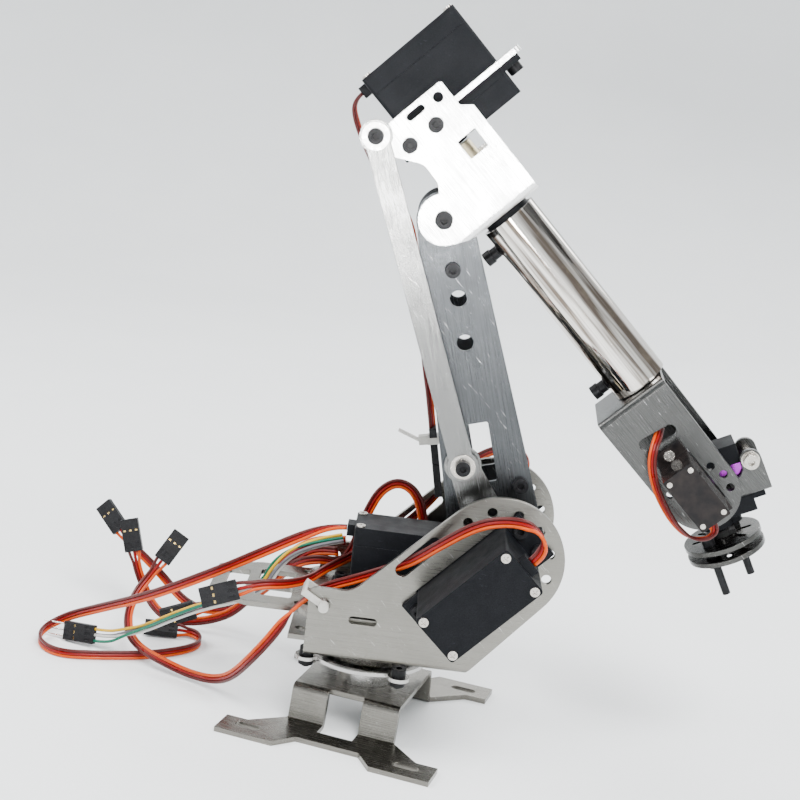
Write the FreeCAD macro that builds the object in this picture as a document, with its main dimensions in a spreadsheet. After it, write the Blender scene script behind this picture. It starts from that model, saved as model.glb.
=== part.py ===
import FreeCAD, Part
import math
import os
import Sketcher
from FreeCAD import Placement, Rotation, Vector

# Desktop robot arm: bent steel stand, turning waist, linked upper arm, rolling
# tube forearm, pitching wrist and rolling tool flange.  Millimetres, +Z up,
# origin on the floor under the waist axis, stand square to X and Y.

SIZES = {
    # sheet metal
    "sheet_thick": 2.0,
    "arm_thick": 1.4,
    "bend_radius": 2.6,
    # stand
    "stand_top": 15.0,
    "stand_half": 21.2,
    "stand_foot_x": 41.6,
    "stand_foot_y": 45.8,
    "foot_slot_width": 3.4,
    "foot_slot_length": 10.0,
    "hub_radius": 11.0,
    # swivel between stand and waist
    "ring_low": 25.0,
    "ring_thick": 1.5,
    "ring_radius": 23.6,
    "ear_radius": 4.2,
    "ear_circle": 26.0,
    "dish_low": 27.6,
    "dish_radius": 22.4,
    "dish_bore": 8.0,
    # waist frame
    "waist_low": 32.7,
    "waist_half": 29.0,
    "waist_back": -23.4,
    "waist_front": 36.3,
    "waist_rear_top": 59.2,
    "head_radius": 23.6,
    "shoulder_x": 43.3,
    "shoulder_z": 77.6,
    "horn_circle": 18.3,
    "small_hole": 1.8,
    "tie_hole": 2.5,
    "tray_top": 48.3,
    "tray_half": 22.0,
    "tray_back": -62.0,
    # standard servo, origin on the shaft at the flange face
    "case_length": 40.7,
    "case_width": 20.0,
    "case_end": 10.2,
    "case_corner": 1.2,
    "case_wall": 1.6,
    "cover_low": -29.2,
    "cover_high": -22.2,
    "case_high": 0.8,
    "gearcase_high": 8.7,
    "flange_length": 54.5,
    "flange_thick": 2.5,
    "spline_radius": 2.9,
    "spline_high": 12.8,
    "horn_radius": 10.2,
    "motor_radius": 7.4,
    # micro servo, same frame
    "micro_length": 23.4,
    "micro_width": 12.2,
    "micro_end": 6.2,
    "micro_low": -18.2,
    "micro_high": 4.4,
    "micro_flange": 32.6,
    "micro_flange_thick": 2.2,
    "micro_spline": 2.3,
    "tool_case_length": 21.9,
    "tool_case_low": -22.6,
    # upper arm and four-bar
    "elbow_x": 8.5,
    "elbow_z": 195.3,
    "arm_wide": 17.6,
    "arm_narrow": 9.8,
    "arm_face": 12.4,
    "crank_length": 34.4,
    "crank_thick": 1.7,
    "crank_face": 14.6,
    "rod_thick": 2.0,
    "rod_face": 17.1,
    "rod_half": 4.4,
    "rod_eye": 5.8,
    "tail_length": 37.6,
    "pin_radius": 1.5,
    # elbow block
    "elbow_face": 14.6,
    "elbow_lobe": 9.2,
    "elbow_end": 12.0,
    # forearm
    "tube_radius": 10.6,
    "tube_wall": 1.0,
    "tube_start": 14.5,
    "tube_end": 92.6,
    "tube_height": 18.0,
    "yoke_start": 93.0,
    "yoke_half": 16.0,
    "yoke_side": 13.9,
    "wrist_x": 136.0,
    "wrist_z": -6.5,
    # wrist and tool
    "tool_offset": 2.0,
    "disc_radius": 14.7,
    "disc_thick": 1.8,
    "disc_high": -24.0,
    "disc_low": -28.6,
    "tool_screw_circle": 8.0,
    "tool_bore": 2.0,
    "tool_screw_hole": 1.55,
    # drilled holes and running fits
    "elbow_pin_hole": 2.05,
    "elbow_bolt_hole": 2.05,
    "tail_bolt_hole": 1.55,
    "arm_screw_hole": 1.55,
    "arm_light_hole": 3.0,
    "spigot_hole": 4.05,
    "crank_pin_hole": 1.55,
    "bush_radius": 3.9,
    "open_bore": 3.7,
    "roll_shaft": 4.0,
    "yoke_hole": 1.5,
    "bracket_pivot_hole": 1.6,
    "bracket_bolt_hole": 1.55,
    # fasteners
    "screw_radius": 1.5,
    "head_radius_m3": 2.75,
    "head_high_m3": 3.0,
    "washer_radius": 4.6,
    "washer_thick": 0.5,
    "cover_head": 1.7,
    # leads
    "lead_width": 3.9,
    "plug_long": 14.0,
    "plug_wide": 7.6,
    "plug_high": 2.7,
    "socket_long": 12.4,
}

YAW = 16.1            # waist turned on the stand, degrees
SERVO_LEAN = 46.8     # long side of the two shoulder servos above level
FOREARM_DIP = 44.0    # forearm below level
FOREARM_ROLL = 4.4    # forearm turned about its tube
WRIST_TURN = -72.0    # tool axis 18 degrees below the tube
CRANK_ANGLE = 102.9   # crank from the arm's cross axis

doc = FreeCAD.newDocument("RobotArm")
sheet = doc.addObject("Spreadsheet::Sheet", "Sizes")
for row, (alias, value) in enumerate(SIZES.items(), 1):
    sheet.set("A%d" % row, alias)
    sheet.set("B%d" % row, str(value))
    sheet.setAlias("B%d" % row, alias)
doc.recompute()

parts = []


def get(alias):
    """Read one driving dimension from the sheet."""
    return float(sheet.get(alias))


def bind(obj, prop, value):
    """Set a property from an expression, a sheet alias or a plain number."""
    if isinstance(value, str):
        obj.setExpression(prop, value)
    else:
        setattr(obj, prop, value)


def at(x, y, z, rotation=Rotation()):
    """A placement at a point."""
    return Placement(Vector(x, y, z), rotation)


def about_y(degrees):
    return Rotation(Vector(0, 1, 0), degrees)


ALONG_Y = Rotation(Vector(1, 0, 0), -90)
ALONG_X = Rotation(Vector(0, 1, 0), 90)

# --------------------------------------------------------------------------
# Frames of the moving groups, at rest
# --------------------------------------------------------------------------
STAND = Placement()
WAIST = at(0, 0, 0, Rotation(Vector(0, 0, 1), YAW))
arm_span_x = get("elbow_x") - get("shoulder_x")
arm_span_z = get("elbow_z") - get("shoulder_z")
ARM_LENGTH = math.hypot(arm_span_x, arm_span_z)
ARM_LEAN = math.degrees(math.atan2(arm_span_x, arm_span_z))
ARM = WAIST * at(get("shoulder_x"), 0, get("shoulder_z"), about_y(ARM_LEAN))
ELBOW = WAIST * at(get("elbow_x"), 0, get("elbow_z"), about_y(FOREARM_DIP))
FOREARM = ELBOW * at(0, 0, get("tube_height"), Rotation(Vector(1, 0, 0), FOREARM_ROLL))
WRIST = FOREARM * at(get("wrist_x"), 0, get("wrist_z"), about_y(WRIST_TURN))
TOOL = WRIST * at(get("tool_offset"), 0, 0)
crank_x = get("crank_length") * math.cos(math.radians(CRANK_ANGLE))
crank_z = get("crank_length") * math.sin(math.radians(CRANK_ANGLE))


def servo_frame(origin, shaft, long_side):
    """Servo frame: local Z along the shaft, local X towards the case's far end."""
    side = shaft.cross(long_side)
    return Placement(origin, Rotation(long_side, side, shaft, "ZXY"))


lean = math.radians(SERVO_LEAN)
down_back = Vector(-math.cos(lean), 0, -math.sin(lean))
half = get("waist_half")
axis_s = Vector(get("shoulder_x"), 0, get("shoulder_z"))
WAIST_SERVO = WAIST * servo_frame(Vector(0, 0, get("tray_top")), Vector(0, 0, -1), Vector(1, 0, 0))
CRANK_SERVO = WAIST * servo_frame(axis_s + Vector(0, -half, 0), Vector(0, 1, 0), down_back)
ARM_SERVO = WAIST * servo_frame(axis_s + Vector(0, half, 0), Vector(0, -1, 0), down_back)
ROLL_FLANGE = -26.3
ROLL_SERVO = ELBOW * servo_frame(Vector(ROLL_FLANGE, 0, get("tube_height")),
                                 Vector(1, 0, 0), Vector(0, 0, 1))
YOKE_FACE = get("yoke_half")
WRIST_SERVO = FOREARM * servo_frame(Vector(get("wrist_x"), -YOKE_FACE, get("wrist_z")),
                                    Vector(0, 1, 0), Vector(-1, 0, 0))
TOOL_SERVO = TOOL * servo_frame(Vector(0, 0, -12.0), Vector(0, 0, -1), Vector(1, 0, 0))


# --------------------------------------------------------------------------
# Shape helpers: primitives bound to the sheet, sketched plates, booleans
# --------------------------------------------------------------------------
def box(name, size, corner, rotation=Rotation()):
    """Box of (length, width, height) with its low corner at a point."""
    obj = doc.addObject("Part::Box", name)
    for prop, value in zip(("Length", "Width", "Height"), size):
        bind(obj, prop, value)
    obj.Placement = Placement(Vector(*corner), rotation)
    return obj


def rod_shape(name, radius, height, base, rotation=Rotation()):
    """Cylinder that starts at base and runs along the rotated Z axis."""
    obj = doc.addObject("Part::Cylinder", name)
    bind(obj, "Radius", radius)
    bind(obj, "Height", height)
    obj.Placement = Placement(Vector(*base), rotation)
    return obj


def cone_shape(name, low, high, height, base, rotation=Rotation()):
    """Cone frustum along the rotated Z axis."""
    obj = doc.addObject("Part::Cone", name)
    bind(obj, "Radius1", low)
    bind(obj, "Radius2", high)
    bind(obj, "Height", height)
    obj.Placement = Placement(Vector(*base), rotation)
    return obj


def fuse(name, shapes):
    obj = doc.addObject("Part::MultiFuse", name)
    obj.Shapes = shapes
    return obj


def cut(name, base, tools):
    """Base with every tool taken away."""
    obj = doc.addObject("Part::Cut", name)
    obj.Base = base
    obj.Tool = tools[0] if len(tools) == 1 else fuse(name + "_tools", tools)
    return obj


def common(name, first, second):
    obj = doc.addObject("Part::Common", name)
    obj.Base = first
    obj.Tool = second
    return obj


def group(name, shapes):
    """Several separate solids that share one node."""
    obj = doc.addObject("Part::Compound", name)
    obj.Links = shapes
    return obj


def tube_shape(name, outer, inner, height, base, rotation=Rotation()):
    """Hollow cylinder; its bore runs past both ends."""
    body = rod_shape(name + "_outer", outer, height, base, rotation)
    over = rotation.multVec(Vector(0, 0, -1))
    start = tuple(Vector(*base) + over)
    deep = height + 2 if not isinstance(height, str) else height + " + 2"
    bore = rod_shape(name + "_bore", inner, deep, start, rotation)
    return cut(name, body, [bore])


def add(name, obj, frame):
    """Register a sub-part: its label names the file, its placement is the frame."""
    obj.Label = name
    obj.Placement = frame * obj.Placement
    parts.append((name, obj))
    return obj


def fillet_corner(before, corner, after, radius):
    """Arc that rounds a corner, with its two tangent points."""
    a = (before - corner).normalize()
    b = (after - corner).normalize()
    half_angle = a.getAngle(b) / 2
    reach = radius / math.tan(half_angle)
    start = corner + a * reach
    end = corner + b * reach
    bisector = (a + b).normalize()
    middle = corner + bisector * (radius / math.sin(half_angle) - radius)
    return start, middle, end


def outline_edges(items):
    """Closed outline from (x, y) points, (x, y, round) corners and
    ("arc", centre x, centre y, radius, from, to) stretches."""
    nodes = []
    for item in items:
        if item[0] == "arc":
            tag, cx, cy, radius, first, last = item
            points = []
            for angle in (first, (first + last) / 2, last):
                turn = math.radians(angle)
                points.append(Vector(cx + radius * math.cos(turn), cy + radius * math.sin(turn), 0))
            nodes.append(points)
        else:
            nodes.append([Vector(item[0], item[1], 0)])
    for index, item in enumerate(items):
        if item[0] != "arc" and len(item) == 3:
            before = nodes[index - 1][-1]
            after = nodes[(index + 1) % len(nodes)][0]
            nodes[index] = list(fillet_corner(before, nodes[index][0], after, item[2]))
    edges = []
    for index, node in enumerate(nodes):
        if len(node) == 3:
            edges.append(Part.Arc(*node))
        start = node[-1]
        end = nodes[(index + 1) % len(nodes)][0]
        if start.distanceToPoint(end) > 1e-6:
            edges.append(Part.LineSegment(start, end))
    return edges


def slot_edges(cx, cy, length, width, angle=0.0):
    """Slot outline with round ends, long side at an angle."""
    turn = math.radians(angle)
    along = (length - width) / 2
    dx, dy = along * math.cos(turn), along * math.sin(turn)
    return outline_edges([
        ("arc", cx + dx, cy + dy, width / 2, angle - 90, angle + 90),
        ("arc", cx - dx, cy - dy, width / 2, angle + 90, angle + 270)])


def hull_edges(first, second):
    """Outline of a bar with two round ends, each (x, y, radius)."""
    dx, dy = second[0] - first[0], second[1] - first[1]
    span = math.hypot(dx, dy)
    heading = math.degrees(math.atan2(dy, dx))
    open_angle = math.degrees(math.acos((first[2] - second[2]) / span))
    low = heading + open_angle
    return outline_edges([
        ("arc", first[0], first[1], first[2], low, heading + 360 - open_angle),
        ("arc", second[0], second[1], second[2], heading - open_angle, low)])


def plate(name, edges, thickness, plane="XZ_Plane", holes=(), cutouts=()):
    """Sheet body: a sketched outline padded to its thickness.  Round holes are
    (x, y, radius alias), and cutouts are closed edge lists."""
    body = doc.addObject("PartDesign::Body", name)
    origin_plane = [f for f in body.Origin.OriginFeatures if f.Role == plane][0]
    sketch = body.newObject("Sketcher::SketchObject", name + "_sketch")
    sketch.AttachmentSupport = (origin_plane, [""])
    sketch.MapMode = "FlatFace"
    sketch.addGeometry(list(edges), False)
    for hole_edges in cutouts:
        sketch.addGeometry(list(hole_edges), False)
    for x, y, radius in holes:
        number = sketch.addGeometry(Part.Circle(Vector(x, y, 0), Vector(0, 0, 1), get(radius)), False)
        rule = sketch.addConstraint(Sketcher.Constraint("Radius", number, get(radius)))
        sketch.setExpression("Constraints[%d]" % rule, "Sizes." + radius)
    pad = body.newObject("PartDesign::Pad", name + "_pad")
    pad.Profile = sketch
    bind(pad, "Length", thickness)
    body.Tip = pad
    return body


def shifted(body, x, y, z):
    """Move a body inside its own group before the group is placed."""
    body.Placement = at(x, y, z)
    return body


def tangent_angle(point, centre, radius, side):
    """Angle on a circle where the line from an outside point touches it."""
    dx, dy = centre[0] - point[0], centre[1] - point[1]
    heading = math.degrees(math.atan2(dy, dx))
    spread = math.degrees(math.asin(radius / math.hypot(dx, dy)))
    return heading + side * (spread + 90) if side > 0 else heading - spread - 90


def polar(radius, degrees):
    turn = math.radians(degrees)
    return radius * math.cos(turn), radius * math.sin(turn)


def cap_screw(name, base, rotation, shank, head_radius="Sizes.head_radius_m3",
              radius="Sizes.screw_radius"):
    """Socket cap screw: the head starts at base and runs along the rotated Z
    axis, and the shank runs the other way."""
    up = rotation.multVec(Vector(0, 0, 1))
    foot = Vector(*base) - up * shank
    head = rod_shape(name + "_head", head_radius, "Sizes.head_high_m3", base, rotation)
    body = rod_shape(name + "_shank", radius, shank, tuple(foot), rotation)
    socket_base = tuple(Vector(*base) + up * (get("head_high_m3") - 1.5))
    socket = rod_shape(name + "_socket", 1.25, 2.0, socket_base, rotation)
    return cut(name, fuse(name + "_solid", [body, head]), [socket])


# --------------------------------------------------------------------------
# Stand: one bent bridge with four slotted feet
# --------------------------------------------------------------------------
def make_stand():
    top, side = get("stand_top"), get("stand_half")
    foot_x, foot_y = get("stand_foot_x"), get("stand_foot_y")
    thick, bend = get("sheet_thick"), get("bend_radius")
    lean_out = 2.4
    section = outline_edges([
        (-foot_y, 0), (-foot_y, thick), (-side - lean_out, thick, 0.6), (-side, top, bend),
        (side, top, bend), (side + lean_out, thick, 0.6), (foot_y, thick), (foot_y, 0),
        (side + lean_out - 1.8, 0, bend), (side - thick, top - thick, 0.6),
        (thick - side, top - thick, 0.6), (1.8 - side - lean_out, 0, bend)])
    hat = shifted(plate("stand_hat", section, 2 * foot_x, "YZ_Plane"), -foot_x, 0, 0)
    waist_x, notch_y, tip_y = 12.3, 37.8, 34.0
    quarter = [(side, 23.5), (33.2, tip_y), (foot_x, tip_y), (foot_x, foot_y),
               (18.8, foot_y), (waist_x, notch_y)]
    corners = [(x, -y) for x, y in reversed(quarter)] + quarter
    corners += [(-x, y) for x, y in reversed(quarter)] + [(-x, -y) for x, y in quarter]
    slots = []
    for sx in (-1, 1):
        for sy in (-1, 1):
            slots.append(slot_edges(sx * 31.0, sy * 39.0, get("foot_slot_length"), get("foot_slot_width")))
    footprint = plate("stand_footprint", outline_edges(corners), top + 5, "XY_Plane", cutouts=slots)
    bridge = common("stand_bridge", hat, footprint)
    arches = []
    for sy in (-1, 1):
        low = 19.0 if sy > 0 else -30.0
        arch = plate("stand_arch", outline_edges([
            (-7, -1), (7, -1), (7, top + 1, 2.0), (-7, top + 1, 2.0)]), 11.0)
        arches.append(shifted(arch, 0, low + 11.0, 0))
    screw_holes = []
    for number in range(4):
        x, y = polar(8.0, 45 + 90 * number)
        screw_holes.append(rod_shape("stand_hole", "Sizes.small_hole", 5, (x, y, top - 4)))
    add("stand", cut("stand_cut", bridge, arches + screw_holes), STAND)


def make_swivel():
    low, thick = get("ring_low"), get("ring_thick")
    top = get("stand_top")
    hub = rod_shape("hub_post", "Sizes.hub_radius", "Sizes.ring_low - Sizes.stand_top", (0, 0, top))
    collar = rod_shape("hub_collar", "Sizes.hub_radius + 4", 2.0, (0, 0, low - 2.0))
    add("base_hub", fuse("hub_solid", [hub, collar]), STAND)

    disc = rod_shape("ring_disc", "Sizes.ring_radius", "Sizes.ring_thick", (0, 0, low))
    ears, holes, screws = [], [], []
    for number in range(4):
        x, y = polar(get("ear_circle"), 45 + 90 * number)
        ears.append(rod_shape("ring_ear", "Sizes.ear_radius", "Sizes.ring_thick", (x, y, low)))
        holes.append(rod_shape("ring_hole", "Sizes.screw_radius + 0.1", 4.0, (x, y, low - 1)))
        screw = cap_screw("ear_screw", (x, y, low + thick), Rotation(), 4.6)
        nut = tube_shape("ear_nut", 2.9, "Sizes.screw_radius + 0.02", 2.2, (x, y, low - 2.2))
        screws += [screw, nut]
    race = tube_shape("race_hole", "Sizes.ring_radius - 6", 12.0, 0.6, (0, 0, low + thick - 0.3))
    add("swivel_ring", cut("ring_cut", fuse("ring_solid", [disc] + ears), holes + [race]), STAND)
    add("swivel_screws", group("ear_screws", screws), STAND)
    bowl = cone_shape("dish_bowl", "Sizes.dish_radius - 2.4", "Sizes.dish_radius",
                      "Sizes.waist_low - Sizes.dish_low", (0, 0, get("dish_low")))
    bore = rod_shape("dish_bore", "Sizes.dish_bore", 8.0, (0, 0, get("dish_low") - 1))
    add("swivel_dish", cut("dish_cut", bowl, [bore]), WAIST)


# --------------------------------------------------------------------------
# Waist frame and tray
# --------------------------------------------------------------------------
def servo_opening(name, frame, depth):
    """Rectangular opening for a standard servo case, in the waist's own frame."""
    gap = 0.3
    obj = box(name, ("Sizes.case_length + 0.6", "Sizes.case_width + 0.6", depth),
              (-get("case_end") - gap, -get("case_width") / 2 - gap, -depth / 2))
    obj.Placement = WAIST.inverse() * frame * obj.Placement
    return obj


def servo_holes(name, frame):
    """Four flange screw holes of a standard servo, in the waist's own frame."""
    found = []
    for x in (-13.7, 34.0):
        for y in (-5, 5):
            hole = rod_shape(name, "Sizes.screw_radius + 0.05", 8, (x, y, -4))
            hole.Placement = WAIST.inverse() * frame * hole.Placement
            found.append(hole)
    return found


def make_waist():
    low, side, thick, bend = get("waist_low"), get("waist_half"), get("sheet_thick"), get("bend_radius")
    tall = 110.0
    section = outline_edges([
        (-side, tall), (-side, low, bend), (side, low, bend), (side, tall), (side - thick, tall),
        (side - thick, low + thick, 0.6), (thick - side, low + thick, 0.6), (thick - side, tall)])
    channel = shifted(plate("waist_channel", section, 105.0, "YZ_Plane"), -33.0, 0, 0)
    centre = (get("shoulder_x"), get("shoulder_z"))
    radius = get("head_radius")
    front, back, rear_top = get("waist_front"), get("waist_back"), get("waist_rear_top")
    first = tangent_angle((front, low), centre, radius, -1)
    last = tangent_angle((-8.0, rear_top), centre, radius, 1)
    lip = -30.5
    profile = outline_edges([
        (lip, low - 1), (front, low - 1), (front, low), ("arc", centre[0], centre[1], radius, first, last),
        (-8.0, rear_top, 9.0), (back, rear_top, 2.6), (back, low + thick), (lip, low + thick)])
    holes = [(-18.0, 53.1, "tie_hole")]
    for degrees in (135, 105, 75, 45, 15, -15):
        dx, dz = polar(get("horn_circle"), degrees)
        holes.append((centre[0] + dx, centre[1] + dz, "small_hole"))
    slots = [slot_edges(-2.9, 48.4, 10.4, 3.0), slot_edges(14.4, 75.4, 20.4, 5.2, SERVO_LEAN)]
    block = shifted(plate("waist_profile", profile, 2 * side + 2, "XZ_Plane", holes, slots), 0, side + 1, 0)
    folded = common("waist_folded", channel, block)
    tools = [servo_opening("crank_opening", CRANK_SERVO, 12.0), servo_opening("arm_opening", ARM_SERVO, 12.0)]
    tools += servo_holes("crank_hole", CRANK_SERVO) + servo_holes("arm_hole", ARM_SERVO)
    tools.append(rod_shape("waist_bore", 12.2, 6.0, (0, 0, low - 2)))
    for sy in (-1, 1):
        tools.append(box("lip_corner", (10.0, 20.0, 6.0), (lip - 2.9, 15.0 if sy > 0 else -35.0, low - 2)))
        tools.append(rod_shape("lip_hole", "Sizes.small_hole", 6.0, (-26.5, sy * 8.0, low - 2)))
    add("waist_frame", cut("waist_cut", folded, tools), WAIST)

    top, wide, back = get("tray_top"), get("tray_half"), get("tray_back")
    inner = side - thick - 0.2
    half_outline = [(38.5, 19.8), (10.0, 19.8), (10.0, inner), (-23.0, inner, 2.0), (-27.0, wide, 3.0),
                    (-46.0, wide, 3.0), (back, wide - 7.0, 2.0)]
    outline = half_outline + [(item[0], -item[1]) + item[2:] for item in reversed(half_outline)]
    gap = 0.3
    case = [(-get("case_end") - gap, -10.3), (30.8, -10.3), (30.8, 10.3), (-get("case_end") - gap, 10.3)]
    windows = [outline_edges(case)]
    for low_x, high_x, low_y, high_y in ((-45.0, -31.0, -14.0, -3.0), (-45.0, -31.0, 3.0, 14.0),
                                         (-57.0, -49.0, -11.0, 11.0)):
        windows.append(outline_edges([(low_x, low_y, 1.0), (high_x, low_y, 1.0),
                                      (high_x, high_y, 1.0), (low_x, high_y, 1.0)]))
    spots = [(x, y, "small_hole") for x, y in ((-27.5, -17.5), (-23.8, -17.5), (-27.5, 17.5), (-23.8, 17.5))]
    tray = plate("tray_sheet", outline_edges(outline), "Sizes.sheet_thick", "XY_Plane", spots, windows)
    tray = cut("tray_cut", shifted(tray, 0, 0, top - thick), servo_holes("tray_hole", WAIST_SERVO))
    add("servo_tray", tray, WAIST)
    posts = []
    for x, y in ((-18.0, 20.0), (-18.0, -20.0), (12.0, 17.0), (12.0, -17.0)):
        posts.append(rod_shape("tray_post", 2.4, "Sizes.tray_top - Sizes.waist_low - 2 * Sizes.sheet_thick",
                               (x, y, low + thick)))
    add("tray_standoffs", group("tray_posts", posts), WAIST)


# --------------------------------------------------------------------------
# Standard servo: cover, mid case with flange, gear case, motor, shaft
# --------------------------------------------------------------------------
def rounded_block(name, low_z, high_z, shrink=0.0, round_corner=None):
    """Servo case slice between two heights, corners rounded, in the servo's frame."""
    end, length, width = get("case_end"), get("case_length"), get("case_width")
    corner = get("case_corner") if round_corner is None else round_corner
    x0, x1 = -end + shrink, length - end - shrink
    y1 = width / 2 - shrink
    edges = outline_edges([(x0, -y1, corner), (x1, -y1, corner), (x1, y1, corner), (x0, y1, corner)])
    return shifted(plate(name, edges, high_z - low_z, "XY_Plane"), 0, 0, low_z)


def make_servo(prefix):
    """Three shells that stack along the shaft, in the servo's own frame; the mid
    case carries the flange."""
    wall = get("case_wall")
    low, joint, high, top = get("cover_low"), get("cover_high"), get("case_high"), get("gearcase_high")
    cover = cut(prefix + "_cover_shell", rounded_block(prefix + "_cover_block", low, joint),
                [rounded_block(prefix + "_cover_room", low + wall, joint + 1, wall, 0.6)])
    relief = box(prefix + "_relief", (3.4, 7.0, 4.4), (-get("case_end") - 3.0, -3.5, low + 1.2))
    cover = fuse(prefix + "_cover_solid", [cover, relief])

    flange_x = get("case_length") / 2 - get("case_end") - get("flange_length") / 2
    flange = box(prefix + "_flange", ("Sizes.flange_length", "Sizes.case_width - 0.4", "Sizes.flange_thick"),
                 (flange_x, -get("case_width") / 2 + 0.2, -get("flange_thick")))
    middle = fuse(prefix + "_mid_solid", [rounded_block(prefix + "_mid_block", joint, high), flange])
    room = rounded_block(prefix + "_mid_room", joint - 1, high - 1.2, wall, 0.6)
    holes = [rod_shape(prefix + "_ear_hole", "Sizes.screw_radius + 0.1", 5.0, (x, y, -4.0))
             for x in (-13.7, 34.0) for y in (-5, 5)]
    shaft_way = rod_shape(prefix + "_mid_way", 3.4, 4.0, (0, 0, high - 2.5))
    case = cut(prefix + "_mid", middle, [room, shaft_way] + holes)

    block = rounded_block(prefix + "_gear_block", high, top)
    dome = rod_shape(prefix + "_dome", 6.2, 0.9, (0, 0, top))
    room = rounded_block(prefix + "_gear_room", high - 1, top - 1.4, wall, 0.6)
    bore = rod_shape(prefix + "_gear_bore", "Sizes.spline_radius + 0.5", 4.0, (0, 0, top - 2))
    gearcase = cut(prefix + "_gearcase_cut", fuse(prefix + "_gearcase_solid", [block, dome]), [room, bore])
    motor = rod_shape(prefix + "_motor", "Sizes.motor_radius", 20.0, (20.0, 0, -21.4))
    return case, cover, gearcase, motor


def servo_shaft(prefix, disc_low, disc_high):
    """Output gear, spline and round horn of a standard servo, as one turning piece."""
    gear = rod_shape(prefix + "_gear", 6.6, 3.0, (0, 0, 2.6))
    spline = rod_shape(prefix + "_spline", "Sizes.spline_radius", "Sizes.spline_high - 2.2", (0, 0, 2.2))
    boss = rod_shape(prefix + "_boss", 4.6, disc_high - 9.9, (0, 0, 9.9))
    disc = rod_shape(prefix + "_disc", "Sizes.horn_radius", disc_high - disc_low, (0, 0, disc_low))
    return [gear, spline, boss, disc]


def cover_screws(prefix, frame, group_frame):
    """Four small bright screws in the bottom cover."""
    heads = []
    for x in (-get("case_end") + 2.2, get("case_length") - get("case_end") - 2.2):
        for y in (-7.8, 7.8):
            base = get("cover_low") - 0.7
            disc = rod_shape(prefix + "_cover_disc", "Sizes.cover_head", 0.7, (x, y, base))
            cross = [box(prefix + "_cover_cross", size, (x - size[0] / 2, y - size[1] / 2, base - 0.1))
                     for size in ((2.2, 0.5, 0.5), (0.5, 2.2, 0.5))]
            head = cut(prefix + "_cover_head", disc, cross)
            head.Placement = group_frame.inverse() * frame
            heads.append(head)
    return heads


def mount_screws(prefix, frame, group_frame, shank, side=1):
    """Four flange screws; side 1 puts the heads on the shaft side."""
    screws = []
    for x in (-13.7, 34.0):
        for y in (-5, 5):
            base = (x, y, 0.0) if side > 0 else (x, y, -get("flange_thick"))
            turn = Rotation() if side > 0 else Rotation(Vector(1, 0, 0), 180)
            screw = cap_screw(prefix + "_mount", base, turn, shank, 2.5)
            screw.Placement = group_frame.inverse() * frame
            screws.append(screw)
    return screws


def make_waist_servos():
    shells, heads, mounts = [], [], []
    for prefix, frame, side, shank in (("waist_servo", WAIST_SERVO, -1, 4.4),
                                       ("crank_servo", CRANK_SERVO, -1, 4.4),
                                       ("shoulder_servo", ARM_SERVO, -1, 4.4)):
        pieces = make_servo(prefix)
        for piece in pieces:
            piece.Placement = WAIST.inverse() * frame * piece.Placement
        shells.append(pieces)
        heads += cover_screws(prefix, frame, WAIST)
        mounts += mount_screws(prefix, frame, WAIST, shank, side)
    cases, covers, gearcases, motors = zip(*shells)
    add("servo_cases", group("servo_case_group", list(cases)), WAIST)
    add("servo_covers", group("servo_cover_group", list(covers)), WAIST)
    add("servo_gearcases", group("servo_gearcase_group", list(gearcases)), WAIST)
    add("servo_motors", group("servo_motor_group", list(motors)), WAIST)
    add("cover_screws", group("cover_screw_group", heads), WAIST)
    add("mount_screws", group("mount_screw_group", mounts), WAIST)
    drive = servo_shaft("waist_shaft", 10.4, 13.0)
    post = rod_shape("waist_post", 5.6, 21.8 - 12.9, (0, 0, 12.9))
    add("waist_servo_shaft", fuse("waist_shaft_solid", drive + [post]), WAIST_SERVO)
    crank_reach = get("waist_half") - get("crank_face")
    add("crank_servo_shaft", fuse("crank_shaft_solid", servo_shaft("crank_shaft", 11.9, crank_reach)),
        CRANK_SERVO)
    arm_reach = get("waist_half") - get("arm_face")
    add("shoulder_servo_shaft", fuse("arm_shaft_solid", servo_shaft("arm_shaft", 13.6, arm_reach)), ARM_SERVO)


# --------------------------------------------------------------------------
# Upper arm, crank and rod
# --------------------------------------------------------------------------
def make_upper_arm():
    face, thick = get("arm_face"), get("arm_thick")
    bar = hull_edges((0, 0, get("arm_wide")), (0, ARM_LENGTH, get("arm_narrow")))
    spacer_spots = ((0.2, 104.6), (11.9, 22.3))
    window = outline_edges([(-3.8, 25.3, 0.8), (3.8, 25.3, 0.8), (3.8, 47.8, 0.8), (-3.8, 47.8, 0.8)])
    plates = []
    for name, y in (("arm_near", -face + thick), ("arm_far", face)):
        holes = [(0, ARM_LENGTH, "elbow_pin_hole")]
        holes += [(x, z, "arm_light_hole") for x, z in ((0.5, 94.0), (0.3, 77.8))]
        holes += [(x, z, "arm_screw_hole") for x, z in spacer_spots]
        if name == "arm_near":
            holes.append((0, 0, "spigot_hole"))
        sheet_body = plate(name + "_sheet", bar, "Sizes.arm_thick", "XZ_Plane", holes, [window])
        plates.append(shifted(sheet_body, 0, y, 0))
    add("arm_plates", group("arm_plate_pair", plates), ARM)
    spacers, screws = [], []
    inner = face - thick
    for x, z in spacer_spots:
        spacers.append(tube_shape("arm_spacer", 3.0, "Sizes.screw_radius + 0.02", 2 * inner, (x, -inner, z), ALONG_Y))
        screws.append(cap_screw("arm_screw_near", (x, -face, z), Rotation(Vector(1, 0, 0), 90), 8.0))
        screws.append(cap_screw("arm_screw_far", (x, face, z), Rotation(Vector(1, 0, 0), -90), 8.0))
    add("arm_spacers", group("arm_spacer_group", spacers), ARM)
    add("arm_screws", group("arm_screw_group", screws), ARM)


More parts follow.
